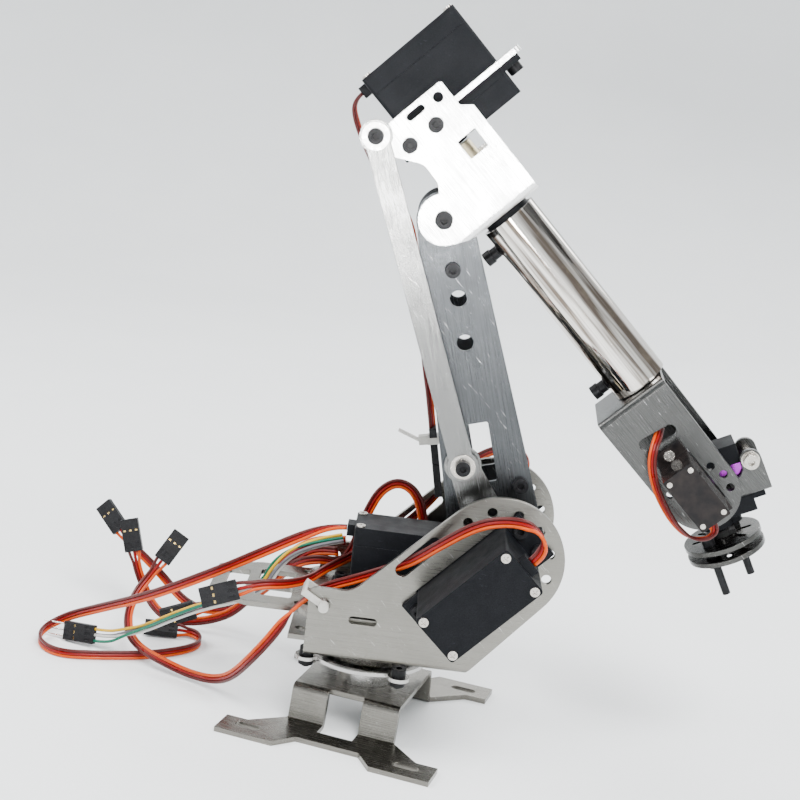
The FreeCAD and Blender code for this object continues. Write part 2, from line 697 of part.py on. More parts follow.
def make_linkage():
    face = get("crank_face")
    bar = hull_edges((0, 0, 9.2), (crank_x, crank_z, 5.4))
    body = plate("crank_sheet", bar, "Sizes.crank_thick", "XZ_Plane", [(crank_x, crank_z, "crank_pin_hole")])
    eye = rod_shape("crank_eye", 6.8, "Sizes.crank_thick", (crank_x, -face, crank_z), ALONG_Y)
    eye_hole = rod_shape("crank_eye_hole", "Sizes.crank_pin_hole", 6.0, (crank_x, -face - 2, crank_z), ALONG_Y)
    spigot = rod_shape("crank_spigot", "Sizes.spigot_hole - 0.05", 3.4,
                       (0, -face + get("crank_thick"), 0), ALONG_Y)
    solid = fuse("crank_solid", [shifted(body, 0, -face + get("crank_thick"), 0), eye, spigot])
    add("crank", cut("crank_cut", solid, [eye_hole]), ARM)
    screw = cap_screw("crank_pin", (crank_x, -get("rod_face") - 0.6, crank_z),
                      Rotation(Vector(1, 0, 0), 90), 4.8)
    add("crank_pin", screw, ARM)

    low = ARM.multVec(Vector(crank_x, 0, crank_z))
    high = ELBOW.multVec(Vector(-get("tail_length"), 0, 0))
    low = WAIST.inverse().multVec(low)
    high = WAIST.inverse().multVec(high)
    span = high - low
    lean_rod = math.degrees(math.atan2(span.x, span.z))
    rod_frame = WAIST * at(low.x, 0, low.z, about_y(lean_rod))
    length = span.Length
    outer, half_width, eye = get("rod_face"), get("rod_half"), get("rod_eye")
    strip = outline_edges([(-half_width, 0), (half_width, 0), (half_width, length), (-half_width, length)])
    strip = shifted(plate("rod_strip", strip, "Sizes.rod_thick"), 0, -outer + get("rod_thick"), 0)
    ends = [rod_shape("rod_end", "Sizes.rod_eye", "Sizes.rod_thick", (0, -outer, z), ALONG_Y) for z in (0, length)]
    holes = [rod_shape("rod_hole", radius, 6.0, (0, -outer - 2, z), ALONG_Y)
             for z, radius in ((0, "Sizes.bush_radius + 0.02"), (length, "Sizes.open_bore"))]
    add("rod", cut("rod_cut", fuse("rod_solid", [strip] + ends), holes), rod_frame)
    sleeve = rod_shape("rod_sleeve", "Sizes.bush_radius", "Sizes.rod_thick + 0.9", (0, -outer - 0.5, 0), ALONG_Y)
    rim = rod_shape("rod_rim", "Sizes.washer_radius", "Sizes.washer_thick", (0, -outer - 0.5, 0), ALONG_Y)
    bore = rod_shape("rod_bush_hole", "Sizes.pin_radius + 0.05", 6.0, (0, -outer - 2, 0), ALONG_Y)
    add("rod_bush", cut("rod_bush_cut", fuse("rod_bush_solid", [sleeve, rim]), [bore]), rod_frame)


# --------------------------------------------------------------------------
# Elbow block and roll servo
# --------------------------------------------------------------------------
def make_elbow():
    face, thick, end, bend = get("elbow_face"), get("sheet_thick"), get("elbow_end"), get("bend_radius")
    section = outline_edges([
        (-48, -face), (end, -face, bend), (end, face, bend), (-48, face), (-48, face - thick),
        (end - thick, face - thick, 0.6), (end - thick, thick - face, 0.6), (-48, thick - face)])
    channel = shifted(plate("elbow_channel", section, 52.0, "XY_Plane"), 0, 0, -14.0)
    tail, lobe = get("tail_length"), get("elbow_lobe")
    heel = tangent_angle((end + 1, 6.2), (0, 0), lobe, 1)
    profile = outline_edges([
        (end + 1, 6.2), (end + 1, 33.0), (-24.5, 33.0), (-27.6, 29.2), (-38.2, 29.2, 1.2), (-38.2, 9.4),
        ("arc", -tail, 0, 5.8, 96, 302), (-19.5, 6.7, 6.0), (-11.3, 6.4, 4.0),
        ("arc", 0, 0, lobe, 152, 360 + heel)])
    window = outline_edges([(-18.1, 20.7, 0.4), (-10.5, 20.7, 0.4), (-10.5, 28.3, 0.4), (-18.1, 28.3, 0.4)])
    slot = slot_edges(-35.1, 15.6, 7.4, 2.6, 90)
    holes = [(0, 0, "elbow_bolt_hole"), (-tail, 0, "tail_bolt_hole"), (-34.3, 25.0, "small_hole"),
             (-27.6, 7.1, "arm_screw_hole"), (-27.4, 18.5, "arm_screw_hole")]
    block = plate("elbow_profile", profile, 2 * face + 2, "XZ_Plane", holes, [window, slot])
    folded = common("elbow_folded", channel, shifted(block, 0, face + 1, 0))
    far_tail = box("elbow_far_tail", (32.0, 10.0, 24.0), (-52.0, 8.0, -16.0))
    under_web = box("elbow_under_web", (6.0, 2 * (face - thick) + 0.02, 14.0),
                    (end - 4.0, thick - face - 0.01, -7.8))
    bearing = rod_shape("elbow_bearing", "Sizes.roll_shaft + 0.05", 8.0,
                        (end - 6, 0, get("tube_height")), ALONG_X)
    add("elbow_frame", cut("elbow_cut", folded, [far_tail, under_web, bearing]), ELBOW)

    centre = get("tube_height")
    inner = face - thick - 0.1
    sheet_body = plate("roll_sheet", outline_edges([
        (-inner, 2.0, 1.0), (inner, 2.0, 1.0), (inner, 57.4, 2.0), (-inner, 57.4, 2.0)]),
        "Sizes.sheet_thick", "YZ_Plane")
    opening = box("roll_opening", (8.0, "Sizes.case_width + 0.4", "Sizes.case_length + 0.4"),
                  (-34.0, -10.2, centre - get("case_end") - 0.2))
    holes = [rod_shape("roll_hole", "Sizes.screw_radius + 0.05", 8.0, (-34.0, y, centre + x), ALONG_X)
             for x in (-13.7, 34.0) for y in (-5, 5)]
    back = ROLL_FLANGE - get("flange_thick") - thick
    add("roll_servo_plate", cut("roll_plate_cut", shifted(sheet_body, back, 0, 0), [opening] + holes), ELBOW)

    case, cover, gearcase, motor = make_servo("roll_servo")
    add("roll_servo_case", case, ROLL_SERVO)
    add("roll_servo_cover", cover, ROLL_SERVO)
    add("roll_servo_gearcase", gearcase, ROLL_SERVO)
    add("roll_servo_motor", motor, ROLL_SERVO)
    screws = cover_screws("roll", ROLL_SERVO, ELBOW)
    add("roll_cover_screws", group("roll_cover_group", screws), ELBOW)

    near, far = Rotation(Vector(1, 0, 0), 90), Rotation(Vector(1, 0, 0), -90)
    bolts = mount_screws("roll", ROLL_SERVO, ELBOW, 4.4)
    for x, z in ((-27.6, 7.1), (-27.4, 18.5)):
        bolts.append(cap_screw("elbow_screw", (x, -face, z), near, 1.95))
        bolts.append(cap_screw("elbow_screw", (x, face, z), far, 1.95))
    for y, turn in ((-face, near), (face, far)):
        bolts.append(cap_screw("elbow_pivot", (0, y, 0), turn, 4.0, 3.2, "Sizes.elbow_pin_hole - 0.05"))
    outside = get("rod_face") + 0.6
    bolts.append(cap_screw("tail_pin", (-tail, -outside, 0), near, outside - face + thick))
    for y in (-outside + 0.02, -face - 0.47):
        bolts.append(tube_shape("tail_washer", "Sizes.washer_radius + 0.4", "Sizes.screw_radius + 0.02", 0.45,
                                (-tail, y, 0), ALONG_Y))
    add("elbow_screws", group("elbow_screw_group", bolts), ELBOW)


# --------------------------------------------------------------------------
# Forearm: tube, hubs, yoke, wrist servo
# --------------------------------------------------------------------------
def make_forearm():
    start, end, radius = get("tube_start"), get("tube_end"), get("tube_radius")
    inner = radius - get("tube_wall")
    tube = rod_shape("tube_outer", "Sizes.tube_radius", "Sizes.tube_end - Sizes.tube_start",
                     (start, 0, 0), ALONG_X)
    bore = rod_shape("tube_bore", "Sizes.tube_radius - Sizes.tube_wall", 120.0, (start - 10, 0, 0), ALONG_X)
    spots = (22.3, 86.0)
    holes = [rod_shape("tube_hole", "Sizes.screw_radius + 0.05", 8.0, (x, 0, -14.0)) for x in spots]
    add("forearm_tube", cut("tube_cut", tube, [bore] + holes), FOREARM)

    plug_a = rod_shape("hub_plug_top", inner - 0.02, 13.0, (start, 0, 0), ALONG_X)
    rim_a = rod_shape("hub_rim_top", 8.8, 1.9, (start - 1.9, 0, 0), ALONG_X)
    way_a = rod_shape("hub_way_top", "Sizes.roll_shaft + 0.02", 9.0, (start - 3, 0, 0), ALONG_X)
    plug_b = rod_shape("hub_plug_end", inner - 0.02, 13.0, (end - 12.6, 0, 0), ALONG_X)
    threads = [rod_shape("hub_thread", "Sizes.screw_radius + 0.02", 10.0, (x, 0, -14.0)) for x in spots]
    hubs = [cut("hub_top", fuse("hub_top_solid", [plug_a, rim_a]), [way_a, threads[0]]),
            cut("hub_end", plug_b, [threads[1]])]
    add("tube_hubs", group("tube_hub_group", hubs), FOREARM)
    down = Rotation(Vector(1, 0, 0), 180)
    screws = []
    for x in spots:
        screws.append(cap_screw("hub_screw", (x, 0, -13.4), down, 8.6))
        screws.append(tube_shape("hub_screw_collar", 2.3, "Sizes.screw_radius + 0.02", 2.6, (x, 0, -13.35)))
    add("hub_screws", group("hub_screw_group", screws), FOREARM)

    stem = rod_shape("roll_stem", "Sizes.roll_shaft", start + 4.0 + 15.8, (-15.8, 0, 0), ALONG_X)
    sleeve = rod_shape("roll_sleeve", 6.4, 14.0, (-16.2, 0, 0), ALONG_X)
    joint = rod_shape("roll_spline", "Sizes.spline_radius", "Sizes.spline_high - 2.2",
                      (ROLL_FLANGE + 2.2, 0, 0), ALONG_X)
    gear = rod_shape("roll_gear", 6.6, 3.0, (ROLL_FLANGE + 2.6, 0, 0), ALONG_X)
    add("roll_servo_shaft", fuse("roll_shaft_solid", [stem, sleeve, joint, gear]), FOREARM)

    face, thick, bend, front = get("yoke_half"), get("sheet_thick"), get("bend_radius"), get("yoke_start")
    section = outline_edges([
        (front, -face, bend), (160, -face), (160, thick - face), (front + thick, thick - face, 0.6),
        (front + thick, face - thick, 0.6), (160, face - thick), (160, face), (front, face, bend)])
    channel = shifted(plate("yoke_channel", section, 40.0, "XY_Plane"), 0, 0, -26.0)
    side = get("yoke_side")
    px, pz = get("wrist_x"), get("wrist_z")
    profile = outline_edges([
        (front - 1, pz - side), ("arc", px + 0.6, pz + 0.4, side, -90, 90), (front - 1, pz + side + 1.0)])
    holes = []
    for degrees in (65, 95, 125, 235):
        dx, dz = polar(10.8, degrees)
        holes.append((px + dx, pz + dz, "yoke_hole"))
    slot = slot_edges(109.6, -6.0, 14.6, 4.6, 83)
    block = plate("yoke_profile", profile, 2 * face + 2, "XZ_Plane", holes, [slot])
    folded = common("yoke_folded", channel, shifted(block, 0, face + 1, 0))
    reach = get("micro_end")
    opening = box("yoke_opening", ("Sizes.micro_length + 0.4", 6.0, "Sizes.micro_width + 0.4"),
                  (px + reach + 0.2 - get("micro_length") - 0.4, -face - 2, pz - get("micro_width") / 2 - 0.2))
    far_pin = rod_shape("yoke_far_hole", "Sizes.pin_radius + 0.05", 8.0, (px, face - 5, pz), ALONG_Y)
    ear_holes = [rod_shape("yoke_ear_hole", 1.05, 8.0, (px + x, -face - 2, pz), ALONG_Y) for x in (-19.3, 8.3)]
    add("wrist_yoke", cut("yoke_cut", folded, [opening, far_pin] + ear_holes), FOREARM)


def make_micro(prefix, frame, tower_high, length, low, seams):
    """Micro servo: a lower case with flange and gear tower, then one shell per
    seam towards the cover, in the servo's frame."""
    width, end, high = get("micro_width"), get("micro_end"), get("micro_high")

    def slab(name, z0, z1, shrink=0.0):
        x0, x1, y1 = -end + shrink, length - end - shrink, width / 2 - shrink
        edges = outline_edges([(x0, -y1, 0.6), (x1, -y1, 0.6), (x1, y1, 0.6), (x0, y1, 0.6)])
        return shifted(plate(prefix + name, edges, z1 - z0, "XY_Plane"), 0, 0, z0)

    flange_x = -end - (get("micro_flange") - get("micro_length")) / 2
    flange_length = length + get("micro_flange") - get("micro_length")
    flange = box(prefix + "_flange", (flange_length, "Sizes.micro_width - 0.2", "Sizes.micro_flange_thick"),
                 (flange_x, -width / 2 + 0.1, -get("micro_flange_thick")))
    tower = rod_shape(prefix + "_tower", 5.9, tower_high, (0, 0, high))
    step = rod_shape(prefix + "_step", 2.9, tower_high, (6.4, 0, high))
    case = fuse(prefix + "_case_solid", [slab("_case_block", seams[0], high), flange, tower, step])
    holes = [rod_shape(prefix + "_ear_hole", 1.05, 5.0, (x, 0, -4.0)) for x in (-8.3, length - end + 2.1)]
    way = rod_shape(prefix + "_way", "Sizes.micro_spline + 0.3", 8.0, (0, 0, high - 3))
    room = slab("_case_room", seams[0] - 1, high - 1.2, 1.1)
    add(prefix + "_case", cut(prefix + "_case_cut", case, [room, way] + holes), frame)
    if len(seams) == 2:
        band = cut(prefix + "_band_cut", slab("_band_block", seams[1], seams[0]),
                   [slab("_band_room", seams[1] - 1, seams[0] + 1, 1.1)])
        add(prefix + "_band", band, frame)
    cover = cut(prefix + "_cover_cut", slab("_cover_block", low, seams[-1]),
                [slab("_cover_room", low + 1.2, seams[-1] + 1, 1.1)])
    add(prefix + "_cover", cover, frame)


def make_wrist():
    low = get("micro_low")
    make_micro("wrist_servo", WRIST_SERVO, 2.2, get("micro_length"), low, (low + 4.4,))
    bits = []
    for x in (-4.2, 15.2):
        for y in (-4.5, 4.5):
            bits.append(rod_shape("wrist_cover_screw", 1.0, 0.4, (x, y, low - 0.4)))
    for x in (-8.3, 19.3):
        head = rod_shape("wrist_ear_head", 2.0, 1.4, (x, 0, -get("micro_flange_thick") - 1.4))
        shank = rod_shape("wrist_ear_shank", 0.95, 5.0, (x, 0, -get("micro_flange_thick")))
        bits.append(fuse("wrist_ear_screw", [head, shank]))
    add("wrist_servo_screws", group("wrist_screw_group", bits), WRIST_SERVO)

    # bracket: a web under the tool servo's ears, with cheeks up to the pivot
    cheek, thick, web = 8.0, 1.5, -9.8
    section = outline_edges([
        (-cheek, 12.0), (-cheek, web, 2.0), (cheek, web, 2.0), (cheek, 12.0), (cheek - thick, 12.0),
        (cheek - thick, web + thick, 0.5), (thick - cheek, web + thick, 0.5), (thick - cheek, 12.0)])
    channel = shifted(plate("bracket_channel", section, 40.0, "YZ_Plane"), -12.0, 0, 0)
    bolt_x, bolt_z = 20.9, 3.4
    profile = outline_edges([
        (25.2, web - 1), (24.9, bolt_z), ("arc", bolt_x, bolt_z, 4.0, 0, 150), (17.2, 0.6, 1.0),
        (15.4, -1.5, 1.5), (7.2, -1.8, 1.5), ("arc", 0, 0, 5.6, 20, 175), (-9.6, web - 1)])
    block = plate("bracket_profile", profile, 2 * cheek + 2, "XZ_Plane",
                  [(0, 0, "bracket_pivot_hole"), (bolt_x, bolt_z, "bracket_bolt_hole")])
    folded = common("bracket_folded", channel, shifted(block, 0, cheek + 1, 0))
    tool_x = get("tool_offset")
    opening = box("bracket_opening", ("Sizes.tool_case_length + 0.4", "Sizes.micro_width + 0.4", 4.0),
                  (tool_x - get("micro_end") - 0.2, -get("micro_width") / 2 - 0.2, web - 1))
    ears = [rod_shape("bracket_ear_hole", 1.05, 6.0, (tool_x + x, 0, web - 2))
            for x in (-8.3, get("tool_case_length") - get("micro_end") + 2.1)]
    add("wrist_bracket", cut("bracket_cut", folded, [opening] + ears), WRIST)

    near = Rotation(Vector(1, 0, 0), 90)
    bolt = cap_screw("bracket_bolt", (bolt_x, -cheek - 0.5, bolt_z), near, 18.2)
    washer = tube_shape("bracket_washer", 3.4, "Sizes.screw_radius + 0.02", 0.48,
                        (bolt_x, -cheek - 0.49, bolt_z), ALONG_Y)
    nut = rod_shape("cap_nut", 3.0, 2.4, (bolt_x, cheek, bolt_z), ALONG_Y)
    dome = doc.addObject("Part::Sphere", "cap_dome")
    dome.Radius = 2.7
    dome.Placement = at(bolt_x, cheek + 2.4, bolt_z)
    room = rod_shape("cap_room", "Sizes.screw_radius + 0.02", 2.2, (bolt_x, cheek - 0.1, bolt_z), ALONG_Y)
    cap = cut("cap_nut_cut", fuse("cap_nut_solid", [nut, dome]), [room])
    add("wrist_bolt", group("wrist_bolt_group", [bolt, washer, cap]), WRIST)

    face = get("yoke_half")
    gear = rod_shape("wrist_spline", "Sizes.micro_spline", 6.2, (0, -face + 1.0, 0), ALONG_Y)
    pivot = rod_shape("wrist_horn_pin", "Sizes.bracket_pivot_hole - 0.02", 1.6, (0, -cheek, 0), ALONG_Y)
    drive = fuse("wrist_drive", [gear, rod_shape("wrist_horn", 5.6, 1.3, (0, -cheek - 1.3, 0), ALONG_Y)])
    far = rod_shape("wrist_far_pin", "Sizes.pin_radius", face - cheek + 1.6 + 1.5, (0, cheek - 1.5, 0), ALONG_Y)
    far_rim = rod_shape("wrist_far_rim", 3.0, 1.5, (0, cheek, 0), ALONG_Y)
    add("wrist_servo_shaft", group("wrist_shaft_group", [fuse("wrist_near_shaft", [drive, pivot]),
                                                         fuse("wrist_far_shaft", [far, far_rim])]), WRIST)
    make_micro("tool_servo", TOOL_SERVO, 3.6, get("tool_case_length"), get("tool_case_low"), (-10.6, -15.2))


# --------------------------------------------------------------------------
# Tool flange
# --------------------------------------------------------------------------
def make_tool():
    high, low, thick = get("disc_high"), get("disc_low"), get("disc_thick")
    circle = get("tool_screw_circle")
    spots = [polar(circle, degrees) for degrees in (226, 46)]
    discs = []
    for name, top in (("tool_upper", high), ("tool_lower", low)):
        slots = [slot_edges(*polar(8.4, degrees), 6.4, 1.8, degrees) for degrees in (1, 91, 136, 181, 271, 316)]
        ring = [("arc", 0, 0, get("disc_radius"), 0, 180), ("arc", 0, 0, get("disc_radius"), 180, 360)]
        holes = [(0, 0, "tool_bore")] + [(x, y, "tool_screw_hole") for x, y in spots]
        disc = plate(name + "_disc", outline_edges(ring), "Sizes.disc_thick", "XY_Plane", holes, slots)
        discs.append(shifted(disc, 0, 0, top - thick))
    add("tool_plates", group("tool_plate_pair", discs), TOOL)
    start = -12.0 - get("micro_high") + 3.4
    spline = rod_shape("tool_spline", "Sizes.micro_spline", start - high, (0, 0, high))
    boss = rod_shape("tool_boss", 3.6, 2.6, (0, 0, high + 0.0))
    arms = box("tool_horn_arm", (11.0, 5.0, 1.6), (-5.5, -2.5, high))
    pin = rod_shape("tool_centre", "Sizes.tool_bore - 0.05", high - low + thick, (0, 0, low - thick))
    add("tool_horn", fuse("tool_horn_solid", [spline, boss, arms, pin]), TOOL)
    screws = []
    for x, y in spots:
        screws.append(cap_screw("tool_screw", (x, y, high), Rotation(), 20.6, 2.4))
        screws.append(tube_shape("tool_nut", 2.9, "Sizes.screw_radius + 0.02", 2.3, (x, y, low - thick - 2.3)))
        screws.append(tube_shape("tool_spacer", 2.7, "Sizes.screw_radius + 0.02", high - thick - low, (x, y, low)))
    add("tool_screws", group("tool_screw_group", screws), TOOL)


# --------------------------------------------------------------------------
# Free leads: plain tubes along straight runs joined by tangent arcs
# --------------------------------------------------------------------------
WAIST_LEAD = [
    (-13.4, 0, 74.1), (-19.5, -0.2, 73.8), (-31, -2.5, 68.8), (-45, -7.5, 61.8), (-64, -11.5, 51.9),
    (-88, 6, 33.9), (-112, 30, 16.8), (-127, 42, 6.9), (-135.2, 34, 3.2), (-133, 22.5, 2.1),
    (-122.8, 14.6, 2.1), (-106.8, 17.8, 2.1), (-89.7, 23.3, 2.1), (-78, 31, 2.1), (-71, 38.5, 2.2),
    (-70.3, 46.5, 2.4), (-75.5, 52.2, 2.8), (-82, 51.4, 3)]
CRANK_LEAD = [
    (52.36, -54.8, 87.24), (55.8, -54.8, 90.9), (55.2, -54.4, 97.2), (48, -52, 100), (38.4, -48, 97.8),
    (31.1, -43.5, 93.2), (22.5, -37, 84.6), (12.7, -28, 73.6), (3.5, -21.5, 66.5), (-8, -20.5, 61),
    (-19, -22.5, 57.2), (-28.8, -26.4, 49.5), (-35.2, -28, 38.2), (-42.5, -23.5, 26.5), (-50.5, -10, 12.4),
    (-58.5, 2, 4.6), (-69, 8, 3.2), (-80.5, 12.6, 5), (-90, 18.4, 6.5), (-96.4, 27, 7.3),
    (-100, 36.5, 8.4), (-101.6, 45, 12), (-100, 51.5, 18), (-95.6, 56.6, 24.2), (-91.8, 60.2, 30.4)]
SHOULDER_LEAD = [
    (52.36, 54.8, 87.24), (55.8, 54.8, 90.9), (55.2, 54.4, 97.2), (48, 52, 100), (38.4, 48, 97.8),
    (31.1, 43.5, 93.2), (22.5, 37, 84.6), (12.7, 28, 73.6), (4, 19, 68), (-5, 14.5, 62), (-13.5, 12, 56.8),
    (-20.6, 4, 54.6), (-25.4, -7, 53.8), (-33, -16.5, 54.4), (-42.3, -21.6, 55.3), (-50.5, -23.4, 52.6)]
ROLL_LEAD = [
    (-25.68, 0, 234.9), (-28.5, 0.1, 232), (-27.2, 0.8, 225.5), (-21.5, 2.5, 214.5), (-13.5, 4, 203.5),
    (-4.5, 5, 192.5), (-0.5, 6, 180.5), (3, 7, 166.5), (6.4, 8, 151), (9.6, 8.8, 136), (14.2, 9, 114.4)]
JUMPER_LEAD = [
    (-15, 17.5, 63.6), (-24, 16, 61.6), (-34, 12, 57.6), (-39.5, 9, 52), (-43, 7.5, 44), (-52, 5, 38.5),
    (-66, 4, 33.8), (-78, 10, 25.6), (-90, 18.2, 15.8), (-99.6, 24.2, 9.8), (-106.2, 27.6, 6),
    (-112.6, 29.8, 5.4)]
UPPER_LEADS = [
    [(16, 17, 72), (14.2, 18, 80), (10, 19.6, 86.5), (3.5, 20.8, 88.4), (-2.6, 21.2, 84), (-6.4, 21, 75.5),
     (-9, 21, 66), (-11, 20.5, 58), (-14.8, 20.2, 52.9), (-24, 22, 52.6), (-33.5, 28, 47.5),
     (-40, 39, 36.5), (-48, 51, 24.5), (-57.5, 59, 14), (-68, 62, 9.4), (-76.5, 63, 9.4), (-84, 64.5, 13),
     (-91.6, 68.5, 19), (-100.4, 73, 24.8), (-109.2, 77, 29.6), (-114.8, 80, 35)],
    [(-14, 23.4, 61), (-23, 24.4, 60.2), (-32.5, 29, 54), (-41, 38, 42), (-49, 46, 28), (-58, 51.5, 14.4),
     (-68.5, 56, 7.4), (-80, 58, 4.2), (-89, 59.5, 5), (-95.4, 61.5, 9.8), (-99.8, 63.8, 16.8),
     (-103.4, 65, 24), (-105.4, 66.2, 31)],
    [(-16.5, 18.9, 57.5), (-25, 23.5, 56.2), (-33, 29.6, 48.5), (-41, 34, 38), (-51, 35.5, 29),
     (-62, 34.6, 24.4), (-73, 32.8, 20.4)]]
WRIST_LEAD = [
    (142.45, -29.4, -8.3), (145.8, -29.3, -8.6), (147.6, -27.8, -13.4), (144, -26.2, -18.4), (137, -25, -19.8),
    (129, -24, -18.8), (121, -23, -16.6), (114.4, -21.8, -13), (110.6, -19.9, -8.8), (109.6, -15.4, -5.8),
    (108.6, -10.4, -3.6)]

def tube_along(name, points, diameter, frame):
    """Tube whose centreline is a row of straight runs with tangent arcs between."""
    spots = [Vector(*p) for p in points]
    edges, cursor, tightest = [], spots[0], 1e9
    for index in range(1, len(spots) - 1):
        back, ahead = spots[index - 1] - spots[index], spots[index + 1] - spots[index]
        shorter = min(back.Length, ahead.Length)
        half_angle = back.getAngle(ahead) / 2
        radius = 0.45 * shorter * math.tan(half_angle)
        start, middle, end = fillet_corner(spots[index - 1], spots[index], spots[index + 1], radius)
        edges.append(Part.LineSegment(cursor, start).toShape())
        edges.append(Part.Arc(start, middle, end).toShape())
        tightest = min(tightest, radius)
        cursor = end
    edges.append(Part.LineSegment(cursor, spots[-1]).toShape())
    path = Part.Wire(edges)
    ring = Part.Wire([Part.makeCircle(diameter / 2, spots[0], spots[1] - spots[0])])
    shape = path.makePipeShell([ring], True, False)
    ideal = math.pi * diameter ** 2 / 4 * path.Length
    print("%s length %.1f tightest radius %.1f volume ratio %.3f" % (
        name, path.Length, tightest, shape.Volume / ideal))
    obj = doc.addObject("Part::Feature", name + "_tube")
    obj.Shape = shape
    obj.Placement = frame
    return obj


def plug_box(start, direction, broad, long="Sizes.plug_long"):
    """Three-way connector shell that begins at a lead's end and points on, with its contacts side by
    side along the broad direction."""
    along = Vector(direction).normalize()
    up = along.cross(Vector(*broad)).normalize()
    side = up.cross(along)
    turn = Rotation(along, side, up, "XYZ")
    corner = Vector(*start) + along * 0.02 - side * get("plug_wide") / 2 - up * get("plug_high") / 2
    return box("plug_shell", (long, "Sizes.plug_wide", "Sizes.plug_high"), tuple(corner), turn)


def make_leads():
    wide = get("lead_width")
    for name, points in (("waist_servo_lead", WAIST_LEAD), ("crank_servo_lead", CRANK_LEAD),
                         ("shoulder_servo_lead", SHOULDER_LEAD), ("roll_servo_lead", ROLL_LEAD),
                         ("jumper_lead", JUMPER_LEAD)):
        add(name, tube_along(name, points, wide, Placement()), WAIST)
    tubes = [tube_along("upper_lead_%d" % number, points, wide, Placement())
             for number, points in enumerate(UPPER_LEADS)]
    add("upper_leads", group("upper_lead_group", tubes), WAIST)
    add("wrist_servo_lead", tube_along("wrist_servo_lead", WRIST_LEAD, wide - 0.5, Placement()), FOREARM)
    ends = [(WAIST_LEAD, (0, 1, 0.3)), (CRANK_LEAD, (-0.85, 0, 0.5)), (SHOULDER_LEAD, (-0.3, 0, 1)),
            (JUMPER_LEAD, (0, 0.25, 1)), (UPPER_LEADS[0], (0.7, 0, 0.7)), (UPPER_LEADS[1], (-1, 0, -0.2)),
            (UPPER_LEADS[2], (0, 0, 1))]
    plugs = [plug_box(points[-1], Vector(*points[-1]) - Vector(*points[-2]), broad) for points, broad in ends]
    add("lead_plugs", group("lead_plug_group", plugs), WAIST)

    # the roll lead's plug meets an extension's socket behind the arm, held by a tie
    along = Vector(*ROLL_LEAD[-1]) - Vector(*ROLL_LEAD[-2])
    along.normalize()
    first, second = Vector(*ROLL_LEAD[-1]), Vector(*ROLL_LEAD[-1]) + along * (get("plug_long") + 0.02)
    pair = [plug_box(first, along, (0, 1, 0)), plug_box(second, along, (0, 1, 0), "Sizes.socket_long")]
    add("arm_plugs", group("arm_plug_group", pair), WAIST)
    side = Vector(0, 1, 0).cross(along)
    turn = Rotation(side, Vector(0, 1, 0), along, "XYZ")
    centre = first + along * 4.2
    loop = box("arm_loop", (4.2, 9.2, 2.4), tuple(centre - turn.multVec(Vector(2.1, 4.6, 1.2))), turn)
    room = box("arm_loop_room", (2.9, 7.8, 6.0), tuple(centre - turn.multVec(Vector(1.45, 3.9, 3.0))), turn)
    lock = box("arm_lock", (3.6, 3.8, 3.4), tuple(centre + turn.multVec(Vector(2.0, -1.9, -1.7))), turn)
    tail_turn = Rotation(Vector(-0.94, 0, 0.34), Vector(0, 1, 0), Vector(-0.34, 0, -0.94), "XYZ")
    tail = box("arm_tail", (9.5, 2.4, 0.9), tuple(centre + side * 4.6 + Vector(0, -1.2, 0)), tail_turn)
    add("arm_tie", fuse("arm_tie_solid", [cut("arm_strap", loop, [room]), lock, tail]), WAIST)

    turn = Rotation(Vector(-0.87, 0, 0.5), Vector(0, 1, 0), Vector(-0.5, 0, -0.87), "XYZ")
    base = Vector(-18.0, -30.3, 53.1) - turn.multVec(Vector(0.9, 0, 1.2))
    loop = box("tie_loop", (9.8, 12.0, 2.4), tuple(base), turn)
    inside = box("tie_inside", (7.9, 10.0, 6.0), tuple(base + turn.multVec(Vector(0.9, 1.1, -1.8))), turn)
    knob = rod_shape("tie_knob", 1.9, 2.6, (-17.6, -32.6, 53.0), ALONG_Y)
    add("zip_tie", fuse("zip_tie_solid", [cut("tie_strap", loop, [inside]), knob]), WAIST)


make_stand()
make_swivel()
make_waist()
make_waist_servos()
make_upper_arm()
make_linkage()
make_elbow()
make_forearm()
make_wrist()
make_tool()
make_leads()

doc.recompute()
bad = [obj.Name for obj in doc.Objects if "Invalid" in obj.State or "Error" in obj.State]
if bad:
    raise RuntimeError("failed objects: %s" % bad)
for name, obj in parts:
    if obj.Shape.isNull() or not obj.Shape.isValid() or not obj.Shape.Solids:
        raise RuntimeError("bad shape: " + name)
os.makedirs("parts", exist_ok=True)
for name, obj in parts:
    obj.Shape.exportStep("parts/%s.step" % name)
print(len(parts), "parts written")
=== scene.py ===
import math
import bmesh
import bpy
from mathutils import Matrix, Vector


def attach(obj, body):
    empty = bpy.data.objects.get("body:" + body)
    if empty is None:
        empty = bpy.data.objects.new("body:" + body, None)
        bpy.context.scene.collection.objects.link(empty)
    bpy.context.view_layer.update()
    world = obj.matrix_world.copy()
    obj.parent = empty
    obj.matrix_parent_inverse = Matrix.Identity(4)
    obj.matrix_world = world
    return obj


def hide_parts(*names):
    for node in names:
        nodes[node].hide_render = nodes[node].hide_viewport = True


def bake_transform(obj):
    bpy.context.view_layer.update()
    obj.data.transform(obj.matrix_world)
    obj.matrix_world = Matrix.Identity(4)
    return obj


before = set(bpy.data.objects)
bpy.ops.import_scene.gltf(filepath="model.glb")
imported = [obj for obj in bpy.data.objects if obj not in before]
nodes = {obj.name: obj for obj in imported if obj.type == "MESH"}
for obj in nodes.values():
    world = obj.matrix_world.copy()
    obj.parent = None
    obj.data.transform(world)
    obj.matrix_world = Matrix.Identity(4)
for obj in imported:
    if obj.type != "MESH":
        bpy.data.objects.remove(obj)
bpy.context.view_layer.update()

# How the arm stands at rest, in degrees.
WAIST_YAW = 16.1
ARM_LEAN = -106.5
ELBOW_LEAN = 44
FOREARM_ROLL = 4.4
TOOL_LEAN = -28

